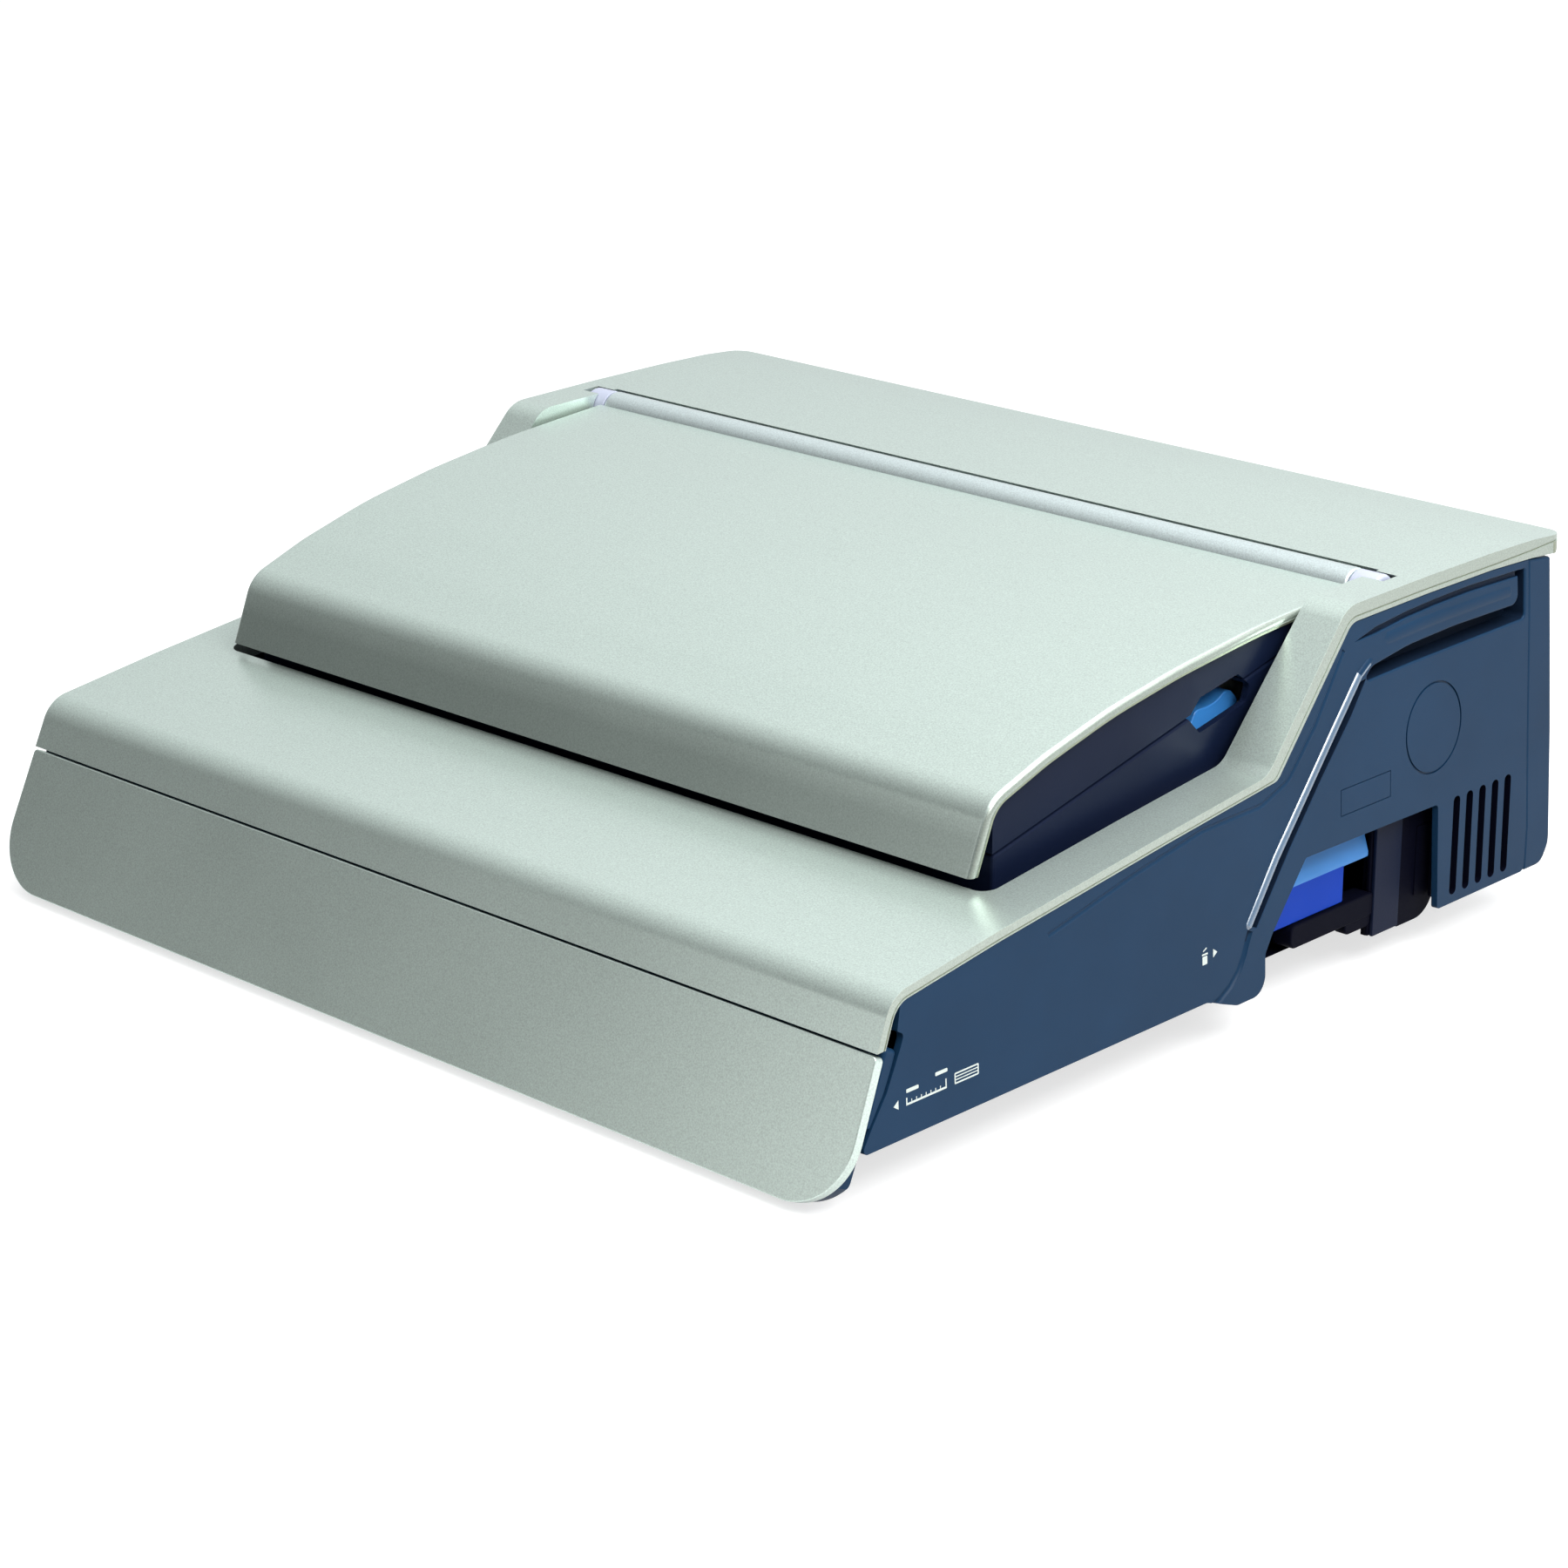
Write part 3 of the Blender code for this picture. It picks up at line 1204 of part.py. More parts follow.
def make_motor():
    """The motor, its bracket and the pinion on its shaft."""
    y, z = motor_axis()
    bore, nose = 4.3, 11.0
    profile = [(0, -82), (9, -82), (9, -76), (MOTOR_RADIUS - 2, -76), (MOTOR_RADIUS, -74), (MOTOR_RADIUS, 28),
               (MOTOR_RADIUS - 1.5, 30), (nose, 30), (nose, 36), (bore, 36), (bore, 22), (0, 22)]
    motor = finish(turned("drive_motor", profile, "x", (y, z), 16), "steel")
    plate = rounded([(y - 14, FLOOR + GAP), (y + 18, FLOOR + GAP), (y + 20, 60, 10), (y + 20, z + 18, 8),
                     (y - 8, z + 18, 8), (y - 14, z + 6, 8)])
    bracket = slab("motor_bracket", [plate, circle(nose + GAP, (y, z), 20)], "x", 30.6, 34.2)
    first = MOTOR_DIRECTION + 180 + 180 / PINION_TEETH
    outline = gear_outline(GEAR_MODULE, PINION_TEETH, (y, z), first)
    pinion = slab("motor_pinion", [outline], "x", 38, 52)
    join(pinion, rod("pinion_shaft", 4.0, "x", 24, 57, (y, z), 16, helper=True))
    finish(pinion, "steel")
    hang(axis_empty("motor_pinion_axis", y, z), pinion)
    return [motor, finish(bracket, "zinc"), pinion]


# The drawers

def fascia_matrix():
    """Places pieces made flat: x across, y up the fascia, z out of its face, zero at the seam."""
    up = Vector((0, FASCIA_TILT, 1)).normalized()
    out = Vector((1, 0, 0)).cross(up)
    matrix = Matrix((Vector((1, 0, 0)), up, out)).transposed().to_4x4()
    return Matrix.Translation(Vector((0, SEAM_Y, SEAM_Z)) * MM) @ matrix


def fascia_outline(inset, top, radius):
    """The fascia's outline, straight above and with large round lower corners."""
    length = (SEAM_Z - FASCIA_BOTTOM) * math.hypot(1, FASCIA_TILT) - inset
    low = half_width(FASCIA_BOTTOM) - inset
    high = half_width(SEAM_Z + top) - inset
    corners = [(-low, -length, radius), (low, -length, radius), (high, top, 2), (-high, top, 2)]
    return rounded(corners, step=10)


def make_front_drawer():
    fascia = slab("drawer_fascia", [fascia_outline(0.0, -1.0, 27)], "z", -4.6, 0)
    frame = slab("drawer_front_frame", [fascia_outline(0.9, 2.6, 26)], "z", -12.0, -4.9)
    round_edges(fascia, 1.4, 2)
    round_edges(frame, 0.8, 1)
    for piece in (fascia, frame):
        piece.data.transform(fascia_matrix())
    clear = block("frame_top_cut", (-260, -230, SEAM_Z - 0.6), (260, fascia_y(SEAM_Z) + 8.6, 90), helper=True)
    cut(frame, clear, *frame_side_cutters())
    tub = [(-202.5, 10.6), (202.5, 10.6), (229.8, 25.2), (229.8, DRAWER_TOP), (-229.8, DRAWER_TOP), (-229.8, 25.2)]
    tray = slab("drawer_tray", [tub], "y", -225, DRAWER_REAR)
    flange = block("tray_flange", (-234.2, -190, DRAWER_TOP - 2.2), (234.2, DRAWER_REAR, DRAWER_TOP), helper=True)
    inner = [(-201.8, 12.6), (201.8, 12.6), (227.6, 26.4), (227.6, 80), (-227.6, 80), (-227.6, 26.4)]
    hollow = slab("tray_hollow", [inner], "y", -240, DRAWER_REAR - 2.4, helper=True)
    cut(hollow, slanted_front("tray_wall", 17.2))
    join(tray, flange)
    cut(tray, slanted_front("tray_front", 14.4), hollow)
    pieces = [finish(fascia, "silver"), finish(frame, "slate"), finish(tray, "black")]
    hang(axis_empty("front_drawer_axis", SEAM_Y, 30), *pieces)
    return pieces


def frame_side_cutters():
    """What the side panels' front edges need free at both ends of the drawer's frame."""
    behind = [(-193.2, 61.0), (-193.2, 59.6), (-201.4, 44.4), (-209.4, 33.4), (-225, 33.4), (-225, 0), (-170, 0),
              (-170, 61.0)]
    cutters = []
    for side, tag in ((-1, "left"), (1, "right")):
        low, high = sorted((side * 242.0, side * 260.0))
        cutters.append(slab("frame_side_cut_" + tag, [behind], "x", low, high, helper=True))
    return cutters


def make_drawer_rails():
    """The rails on the base's walls that the drawer's flanges slide on."""
    rails = []
    for side, tag in ((-1, "left"), (1, "right")):
        section = [(235.2, 38.0), (235.2, 47.4), (230.6, 47.4), (230.6, 44.6), (233.2, 44.6), (233.2, 38.0)]
        outline = [(side * x, z) for x, z in section]
        if side < 0:
            outline.reverse()
        rails.append(finish(slab("drawer_rail_" + tag, [outline], "y", -188, -20), "nylon"))
    return rails


def make_waste_drawer():
    """The blue bin with its sloping finger lip, the channel under it and the bay's liner."""
    wall = 2.0
    section = [(31.8, BIN_BOTTOM), (90.0, BIN_BOTTOM), (90.0, BIN_TOP), (39.6, BIN_TOP), (31.8, 39.6)]
    bin_box = slab("waste_bin", [section], "x", BIN_LEFT, BIN_FACE)
    lip = slab("bin_lip", [[(BIN_FACE, 49.0), (BIN_FACE, 51.5), (BIN_FACE - 7.5, LIP_TOP), (BIN_FACE - 10.5, LIP_TOP),
                            (BIN_FACE - 6, 49.0)]], "y", 38.5, 106.8, helper=True)
    wing = block("bin_wing", (BIN_FACE - 8, 86, 43), (BIN_FACE - 3.5, 106.8, 51), helper=True)
    inside = [(31.8 + wall, BIN_BOTTOM + wall), (90.0 - wall, BIN_BOTTOM + wall), (90.0 - wall, 70.0),
              (40.4 + wall, 70.0), (40.4 + wall, BIN_TOP), (31.8 + wall, 38.9)]
    hollow = slab("bin_hollow", [inside], "x", BIN_LEFT + wall, BIN_FACE - 12, helper=True)
    slant = slab("bin_slant", [[(20, BIN_TOP), (39.4, BIN_TOP), (48.3, 62.0), (48.3, 70), (20, 70)]], "x", 200, 250,
                 helper=True)
    join(bin_box, lip, wing)
    cut(bin_box, hollow, slant)
    finish(bin_box, "blue")
    hang(axis_empty("waste_drawer_axis", 61, 40, BIN_FACE), bin_box)
    return [bin_box, make_waste_channel(), make_bay_liner()]


def make_waste_channel():
    """The guide under the bin: a floor on two walls, with a low rail on each side."""
    low, floor, rail = FLOOR + GAP, BIN_BOTTOM - 0.6, BIN_BOTTOM + 7.4
    section = [(27.5, low), (30.5, low), (30.5, floor - 2.8), (92.5, floor - 2.8), (92.5, low), (95.5, low),
               (95.5, rail), (93.2, rail), (93.2, floor), (29.6, floor), (29.6, rail), (27.5, rail)]
    return finish(slab("waste_channel", [section], "x", -158, 203), "black")


def make_bay_liner():
    """The bay's lining behind the bin: a wall on a bracket, a column, and a sill under the bin's face."""
    section = [(186.0, FLOOR + GAP), (188.4, FLOOR + GAP), (188.4, 20.5), (231.6, 20.5), (234.0, 20.5),
               (234.0, 67.0), (231.6, 67.0), (231.6, 22.9), (186.0, 22.9)]
    liner = slab("waste_bay_liner", [section], "y", 110, 137.5)
    parts = [
        block("bay_sill", (228.0, 53.5, 23.0), (237.5, 110.6, BIN_BOTTOM - 0.5), helper=True),
        block("bay_step", (233.2, 91.0, 14.5), (237.2, 108.5, 31.0), helper=True),
        block("bay_column", (233.0, 114.0, 13.3), (238.2, 131.0, 62.0), helper=True),
        block("bay_corner", (233.4, 130.0, 12.0), (237.0, 150.0, 19.4), helper=True),
    ]
    join(liner, *parts)
    return finish(liner, "black")


# The electrics

def make_inlet():
    """The mains inlet: a socket body with a flange and three pins inside."""
    x, z = 170.0, 73.5
    inlet = block("power_inlet", (x - 13.4, 202, z - 9.9), (x + 13.4, 223.2, z + 9.9))
    recess = rounded([(x - 11.2, z - 7.4, 1), (x + 11.2, z - 7.4, 1), (x + 11.2, z + 3.4, 1), (x + 7.2, z + 7.4, 1),
                      (x - 7.2, z + 7.4, 1), (x - 11.2, z + 3.4, 1)], step=30)
    cut(inlet, slab("inlet_recess", [recess], "y", 206, 230, helper=True))
    for index, place in enumerate(((-7, -1.5), (7, -1.5), (0, 2.8))):
        a, b = x + place[0], z + place[1]
        join(inlet, block(f"inlet_pin_{index}", (a - 1, 204, b - 2), (a + 1, 219, b + 2), helper=True))
    return finish(inlet, "black")


def make_power_switch():
    """The mains switch beside the inlet: a frame with a rocker on a cross axis."""
    x, z = 120.0, 73.5
    frame = block("switch_frame", (x - 7.4, 200, z - 6.9), (x + 7.4, 223.6, z + 6.9))
    cut(frame, block("switch_well", (x - 5.6, 208, z - 5.4), (x + 5.6, 230, z + 5.4), helper=True))
    axis_y = 219.0
    corners = [(axis_y + 2.2, z - 4.3, 0.5), (axis_y + 6.2, z - 4.0, 0.8), (axis_y + 3.6, z, 6),
               (axis_y + 4.2, z + 4.3, 0.5), (axis_y - 2.4, z + 3.2, 1), (axis_y - 2.4, z - 3.2, 1)]
    rocker = finish(slab("power_rocker", [rounded(corners, step=30)], "x", x - 5.2, x + 5.2), "black")
    hang(axis_empty("power_rocker_axis", axis_y, z, x), rocker)
    return [finish(frame, "black"), rocker]


def make_circuit_board():
    """The control board on four posts, with its transformer, relay and capacitors."""
    board = block("circuit_board", (-228, 126, 40), (-174, 192, 41.6))
    parts = [
        block("board_transformer", (-222, 132, 41), (-188, 160, 66), helper=True),
        block("board_relay", (-196, 168, 41), (-180, 184, 56), helper=True),
        rod("board_capacitor_a", 6.5, "z", 41, 64, (-216, 174), 14, helper=True),
        rod("board_capacitor_b", 5.0, "z", 41, 58, (-203, 172), 12, helper=True),
    ]
    for index, place in enumerate(((-200, 130), (-178, 130), (-200, 188), (-178, 188))):
        parts.append(rod(f"board_post_{index}", 2.6, "z", FLOOR + GAP, 40.5, place, 10, helper=True))
    join(board, *parts)
    return finish(board, "board")


clear_scene()
PARTS = add_collection("wire_binding_machine")
CUTTERS = add_collection("cutters", hidden=True)


def build():
    make_top_cover()
    for side in (-1, 1):
        make_side_panel(side)
    make_back_cover()
    make_base_tray()
    make_feet()
    lid = make_lid()
    hang(axis_empty("lid_axis", HINGE_Y, HINGE_Z), *lid)
    make_hinge_pins()
    make_work_body()
    make_wire_comb()
    make_button()
    make_dial()
    make_edge_guide()
    make_closer()
    make_die_and_stripper()
    make_ram()
    make_side_frames()
    make_camshaft()
    make_motor()
    make_front_drawer()
    make_drawer_rails()
    make_waste_drawer()
    make_inlet()
    make_power_switch()
    make_circuit_board()


build()
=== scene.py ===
"""The looks of the wire binding machine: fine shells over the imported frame, materials, light and camera.

Lengths are in millimetres and angles in degrees, as in the part's source; the helpers scale them to metres.
Materials, the floor and the lamps are in metres.
"""

import json
import math

import bmesh
import bpy
from mathutils import Matrix, Vector


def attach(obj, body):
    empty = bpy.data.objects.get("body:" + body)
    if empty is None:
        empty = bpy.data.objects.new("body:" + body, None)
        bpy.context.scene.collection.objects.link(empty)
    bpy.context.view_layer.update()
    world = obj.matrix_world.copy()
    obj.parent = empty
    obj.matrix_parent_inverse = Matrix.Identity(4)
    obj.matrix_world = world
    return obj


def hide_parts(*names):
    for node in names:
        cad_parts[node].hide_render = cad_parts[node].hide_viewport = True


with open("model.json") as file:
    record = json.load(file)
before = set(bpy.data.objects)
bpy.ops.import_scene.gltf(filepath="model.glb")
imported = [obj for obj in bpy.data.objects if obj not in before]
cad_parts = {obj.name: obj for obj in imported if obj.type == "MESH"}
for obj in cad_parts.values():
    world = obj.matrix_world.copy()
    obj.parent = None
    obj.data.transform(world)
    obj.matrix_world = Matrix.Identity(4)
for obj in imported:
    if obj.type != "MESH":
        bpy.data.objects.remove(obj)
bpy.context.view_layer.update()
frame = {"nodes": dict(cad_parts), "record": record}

MM = 0.001
GAP = 0.3
ROUND_SIDES = 64
SIDES = ((-1, "left"), (1, "right"))

# The casing and its silver cover. Corners are (y, z, radius) in the side view.
HALF_WIDTH_AT_TABLE = 250.1
SIDE_LEAN = 0.05
BACK = 229.8
SEAM_Y = -205.4
SEAM_Z = 60.6
FASCIA_TILT = 0.43
COVER_CORNERS = [(SEAM_Y - 12 * FASCIA_TILT, SEAM_Z - 12), (-197.0, 80.1, 15), (-139.0, 88.2, 150),
                 (-41.0, 99.9, 300), (23.3, 107.0, 12), (75.3, 164.1, 16), (130.0, 165.1, 300),
                 (175.0, 165.2, 200), (205.0, 164.7, 150), (BACK, 163.0)]
SKIN = 2.4
COVER_ROUND = 3.2
REAR_CORNER_RADIUS = 9
REAR_ARC_STEPS = 12
COVER_REACH = 255
CUTTER_REACH = 260

# The cover's lower edge and the fine groove above it, each with a part at the deck and one behind
DECK_PART_END = 21.0
REAR_PART_START = 34.0
REAR_PART_END = 200.0
PARTS_RADIUS = 6
EDGE_DECK_DEPTH = 4.2
EDGE_REAR_DEPTH = 7.2
GROOVE_DECK_DEPTH = 3.4
GROOVE_REAR_DEPTH = 5.2
COVER_GROOVE_RADIUS = 0.42

# The front panel. Its pieces are made flat, with z out of its face.
FASCIA_BOTTOM = 4.2
FASCIA_BACK = -4.6
FRAME_FACE = -4.9
FRAME_BACK = -12.0

# The lid, its opening in the cover and its hinge
LID_FRONT = -119.5
LID_FRONT_Z = 95.2
LID_REAR = 109.0
LID_HALF_FRONT = 215.5
LID_HALF_REAR = 219.8
LID_CORNERS = [(-124.3, 83.2), (-108.4, 123.3, 17), (-77.5, 134.1, 120), (-40.0, 143.9, 250),
               (0.0, 150.9, 300), (50.0, 156.9, 400), (112.0, 160.9)]
LID_EDGE = 4.0
LID_SKIN = 2.6
LID_ROUND = 2.4
LID_GROOVE_DEPTH = 2.75
LID_GROOVE_RADIUS = 0.4
LID_REACH = 230
LID_CUTTER_REACH = 240
LID_PLAN_REACH = 140
LID_UNDER = 40
OPENING_HALF = 222.0
OPENING_FRONT = -117.6
CURB_WALL = 2.4
HINGE_Y = 117.5
HINGE = (HINGE_Y, 157.4)
BARREL_RADIUS = 8.5
BARREL_HALF = 216.0
CAP_END = 229.4

# The side panels, drawn flat as (y, z), made in layers and then tilted
PANEL_INSET = 0.4
WALL = 3.0
PANEL_ROUND = 1.7
PANEL_BOTTOM = 23.9
PANEL_REAR_BOTTOM = 19.8
FOOT_BOTTOM = 17.2
GROOVE_FRONT = [(13.5, 47.4), (31.0, 70.7), (50.6, 93.0), (70.3, 115.5), (84.3, 131.0)]
GROOVE_REAR = [(16.8, 46.1), (39.3, 74.4), (59.0, 96.8), (78.9, 118.2), (89.0, 131.6)]
GROOVE_DEPTH = 4.2
GROOVE_LOW = 44.0
GROOVE_HIGH = 136.0
GROOVE_REACH = 6.5
RIB_LINE = [(9.5, 45.2), (12.0, 48.7), (29.5, 72.0), (49.1, 94.3), (68.8, 116.8), (80.2, 129.6),
            (84.0, 133.9), (90.0, 137.6), (102.0, 140.6)]
RIB_RADIUS = 2.5
RIB_RISE = 1.1
GRIP_DEPTH = 10.6
GRIP_ZONE = (86.0, 202.0, 129.0, 154.0)
HANDLE_LINE = [(92.0, 143.8), (104.0, 145.0), (124.0, 145.8), (150.0, 146.2), (188.0, 145.9),
               (193.6, 145.8)]
HANDLE_RADIUS = 6.4
HANDLE_RISE = 0.8
BAR_END_SINK = 2.6
CHANNEL_LINE = [(80.5, 148.4), (95.0, 150.1), (115.6, 152.0), (136.4, 152.9), (160.0, 153.3),
                (197.0, 152.4)]
CHANNEL_HALF = 1.2
CHANNEL_DEPTH = 1.8
CREASE_LINE = [(-110.0, 78.5), (-60.0, 88.5), (-18.0, 95.2), (0.7, 95.6), (19.8, 95.8, 12),
               (37.3, 101.7, 12), (54.9, 120.2), (73.6, 146.7)]
CREASE_RADIUS = 1.5
CREASE_RISE = 0.9
FOOT_CREASE = [(12.5, 46.0), (10.5, 42.0), (8.4, 37.0), (5.2, 31.6), (0.0, 26.6), (-6.7, 22.9),
               (-14.0, 20.6), (-24.0, 19.2)]
FOOT_CREASE_RADIUS = 1.9
FOOT_CREASE_RISE = 0.5
FLARE_RINGS = 5
VENTS = 5
VENT_HALF = 2.4
VENT_ROUND = 2.3
VENT_LOW = 23.5
VENT_HIGH = 66.0
VENT_ZONE = (146.0, 196.0, 20.6, 69.0)
CIRCLE_PLACE = (136.0, 99.8)
CIRCLE_RADIUS = 19.2
CIRCLE_LINE = 0.45

# The waste bay
BIN_LEFT = -150.0
BIN_FACE = 236.0
BIN_BOTTOM = 33.6
BIN_TOP = 50.0
BIN_WALL = 2.0
LIP_TOP = 60.7
BAY_FLOOR = 9.4

# The studio and the camera
FLOOR_HALF = 14.0
FLOOR_Z = -0.0002
FLOOR_GREY = 0.45
FLOOR_GLOW = 0.70
FLOOR_IN_MIRRORS = 0.72
ROOM_SLOPE = (0.18, 0.46, 0.54)
ROOM_LEVEL = 0.34
ROOM_COLOUR = (0.95, 0.98, 1.0, 1)
CAMERA_PLACE = (1148.435, -1202.344, 634.834)
CAMERA_DOWN = 19.36
CAMERA_TURN = 43.53
CAMERA_LENS = 94.04

AXES = {
    "x": Matrix(((0, 0, 1, 0), (1, 0, 0, 0), (0, 1, 0, 0), (0, 0, 0, 1))),
    "y": Matrix(((1, 0, 0, 0), (0, 0, -1, 0), (0, 1, 0, 0), (0, 0, 0, 1))),
    "z": Matrix.Identity(4),
}


# Outlines

def rounded(corners, closed=True, step=4.0):
    """Corners (a, b) or (a, b, radius) as an outline whose corners are arcs."""
    count = len(corners)
    outline = []
    for index, corner in enumerate(corners):
        here = Vector(corner[:2])
        ends = not closed and index in (0, count - 1)
        if len(corner) == 2 or ends:
            outline.append(tuple(here))
            continue
        before = Vector(corners[index - 1][:2])
        after = Vector(corners[(index + 1) % count][:2])
        outline += corner_arc(before, here, after, corner[2], step)
    return outline


def corner_arc(before, here, after, radius, step):
    """The points of one corner's arc, which is smaller where the sides are short."""
    into = (here - before).normalized()
    out = (after - here).normalized()
    turn = math.atan2(into.x * out.y - into.y * out.x, into.dot(out))
    if abs(turn) < 0.002:
        return [tuple(here)]
    reach = radius * math.tan(abs(turn) / 2)
    reach = min(reach, 0.49 * (here - before).length, 0.49 * (after - here).length)
    radius = reach / math.tan(abs(turn) / 2)
    side = math.copysign(1, turn)
    start = here - into * reach
    centre = start + Vector((-into.y, into.x)) * radius * side
    pieces = max(1, math.ceil(abs(math.degrees(turn)) / step))
    points = []
    for index in range(pieces + 1):
        arm = Matrix.Rotation(turn * index / pieces, 2) @ (start - centre)
        points.append(tuple(centre + arm))
    return points


def offset_line(line, distance):
    """An open line moved to the right of its direction, which is down for a line that runs to +Y."""
    moved = []
    for index, point in enumerate(line):
        here = Vector(point)
        normals = []
        if index > 0:
            along = (here - Vector(line[index - 1])).normalized()
            normals.append(Vector((along.y, -along.x)))
        if index < len(line) - 1:
            along = (Vector(line[index + 1]) - here).normalized()
            normals.append(Vector((along.y, -along.x)))
        mean = sum(normals, Vector((0, 0)))
        if len(normals) == 2:
            mean = mean / (1 + normals[0].dot(normals[1]))
        moved.append(tuple(here + mean * distance))
    return moved


def offset_closed(outline, distance):
    """A closed outline that runs counter-clockwise, moved outward."""
    count = len(outline)
    moved = []
    for index in range(count):
        before = Vector(outline[index - 1])
        here = Vector(outline[index])
        after = Vector(outline[(index + 1) % count])
        into = (here - before).normalized()
        out = (after - here).normalized()
        first = Vector((into.y, -into.x))
        second = Vector((out.y, -out.x))
        mean = (first + second) / max(0.5, 1 + first.dot(second))
        moved.append(tuple(here + mean * distance))
    return moved


def extended(line, y):
    """An open line continued straight from its last piece to a further y."""
    (y0, z0), (y1, z1) = line[-2:]
    return line[:-1] + [(y, z0 + (z1 - z0) * (y - y0) / (y1 - y0))]


def height_on(line, y):
    """The z of a line at a depth."""
    for (y0, z0), (y1, z1) in zip(line, line[1:]):
        if y0 <= y <= y1:
            return z0 + (z1 - z0) * (y - y0) / (y1 - y0)
    return line[-1][1]


def depth_on(line, z):
    """The y of a rising line at a height."""
    for (y0, z0), (y1, z1) in zip(line, line[1:]):
        if z <= z1:
            break
    return y0 + (y1 - y0) * (z - z0) / (z1 - z0)


def between(line, low, high):
    """The part of a line between two depths."""
    inside = [point for point in line if low < point[0] < high]
    return [(low, height_on(line, low)), *inside, (high, height_on(line, high))]


def circle(radius, centre):
    points = []
    for index in range(ROUND_SIDES):
        angle = 2 * math.pi * index / ROUND_SIDES
        points.append((centre[0] + radius * math.cos(angle), centre[1] + radius * math.sin(angle)))
    return points


def rectangle(a0, a1, b0, b1, radius=0.0):
    corners = [(a0, b0), (a1, b0), (a1, b1), (a0, b1)]
    if radius:
        corners = [(a, b, radius) for a, b in corners]
    return rounded(corners, step=12)


def half_width(z):
    """Half the casing's width at a height."""
    return HALF_WIDTH_AT_TABLE - SIDE_LEAN * z


def panel_face():
    """How far out the face of a side panel lies before it is tilted."""
    return half_width(SEAM_Z) - PANEL_INSET


def fascia_y(z):
    """The front panel's depth at a height."""
    return SEAM_Y - FASCIA_TILT * (SEAM_Z - z)


def lid_half(y):
    """Half the lid's width at a depth."""
    growth = (LID_HALF_REAR - LID_HALF_FRONT) / (LID_REAR - LID_FRONT)
    return LID_HALF_FRONT + growth * (y - LID_FRONT)


def rim_line(deck_depth, rear_depth, corner, rear_end):
    """A line along the silver cover's side at one depth on the deck and another beside the rear top."""
    line = rounded(COVER_CORNERS, closed=False, step=3.0)
    deck = [point for point in offset_line(line, deck_depth) if point[0] < DECK_PART_END]
    rear = [point for point in offset_line(line, rear_depth) if REAR_PART_START < point[0] < REAR_PART_END]
    turn = rounded([deck[-1], (*corner, PARTS_RADIUS), rear[0]], closed=False, step=3.0)[1:-1]
    return deck + turn + rear + rear_end


def trim_line():
    """The silver cover's lower edge."""
    overhang = [(205.0, 157.0), (222.9, 155.6), (BACK, 160.6), (BACK + 20, 175.0)]
    return rim_line(EDGE_DECK_DEPTH, EDGE_REAR_DEPTH, (29.8, 103.5), overhang)


def groove_line():
    """The fine groove that parts the cover's rolled edge from its lower rim."""
    overhang = [(205.0, 160.4), (BACK + 20, 162.0)]
    return rim_line(GROOVE_DECK_DEPTH, GROOVE_REAR_DEPTH, (28.3, 104.3), overhang)


# Solids

def evaluated_mesh(obj):
    graph = bpy.context.evaluated_depsgraph_get()
    return bpy.data.meshes.new_from_object(obj.evaluated_get(graph))


def welded(mesh):
    edit = bmesh.new()
    edit.from_mesh(mesh)
    bmesh.ops.remove_doubles(edit, verts=edit.verts, dist=0.000002)
    bmesh.ops.recalc_face_normals(edit, faces=edit.faces)
    edit.to_mesh(mesh)
    edit.free()
    return mesh


def flattened(mesh):
    """Joins the triangles of each flat face into one face, so that a bevel meets no slivers."""
    edit = bmesh.new()
    edit.from_mesh(mesh)
    bmesh.ops.dissolve_limit(edit, angle_limit=0.0005, verts=edit.verts, edges=edit.edges)
    edit.to_mesh(mesh)
    edit.free()
    return mesh


def add_object(name, data):
    obj = bpy.data.objects.new(name, data)
    bpy.context.scene.collection.objects.link(obj)
    return obj


def slab(name, outlines, along, start, end):
    """Flat outlines given a thickness along one axis. An outline inside another is a hole."""
    curve = bpy.data.curves.new(name, "CURVE")
    curve.dimensions = "2D"
    curve.fill_mode = "BOTH"
    curve.extrude = abs(end - start) / 2 * MM
    for outline in outlines:
        spline = curve.splines.new("POLY")
        spline.points.add(len(outline) - 1)
        for point, (a, b) in zip(spline.points, outline):
            point.co = (a * MM, b * MM, 0, 1)
        spline.use_cyclic_u = True
    flat = add_object(name + "_outline", curve)
    mesh = evaluated_mesh(flat)
    bpy.data.objects.remove(flat, do_unlink=True)
    middle = (start + end) / 2 * MM
    if along == "y":
        middle = -middle
    mesh.transform(AXES[along] @ Matrix.Translation((0, 0, middle)))
    return add_object(name, flattened(welded(mesh)))


def block(name, low, high):
    mesh = bpy.data.meshes.new(name)
    edit = bmesh.new()
    bmesh.ops.create_cube(edit, size=1.0)
    low, high = Vector(low), Vector(high)
    bmesh.ops.scale(edit, vec=(high - low) * MM, verts=edit.verts)
    bmesh.ops.translate(edit, vec=(low + high) / 2 * MM, verts=edit.verts)
    edit.to_mesh(mesh)
    edit.free()
    return add_object(name, mesh)


def rod(name, radius, start, end, centre):
    """A round bar along X."""
    mesh = bpy.data.meshes.new(name)
    edit = bmesh.new()
    radius *= MM
    bmesh.ops.create_cone(edit, cap_ends=True, segments=ROUND_SIDES, radius1=radius, radius2=radius,
                          depth=abs(end - start) * MM)
    edit.to_mesh(mesh)
    edit.free()
    mesh.transform(AXES["x"])
    mesh.transform(Matrix.Translation(Vector(((start + end) / 2, *centre)) * MM))
    return add_object(name, mesh)


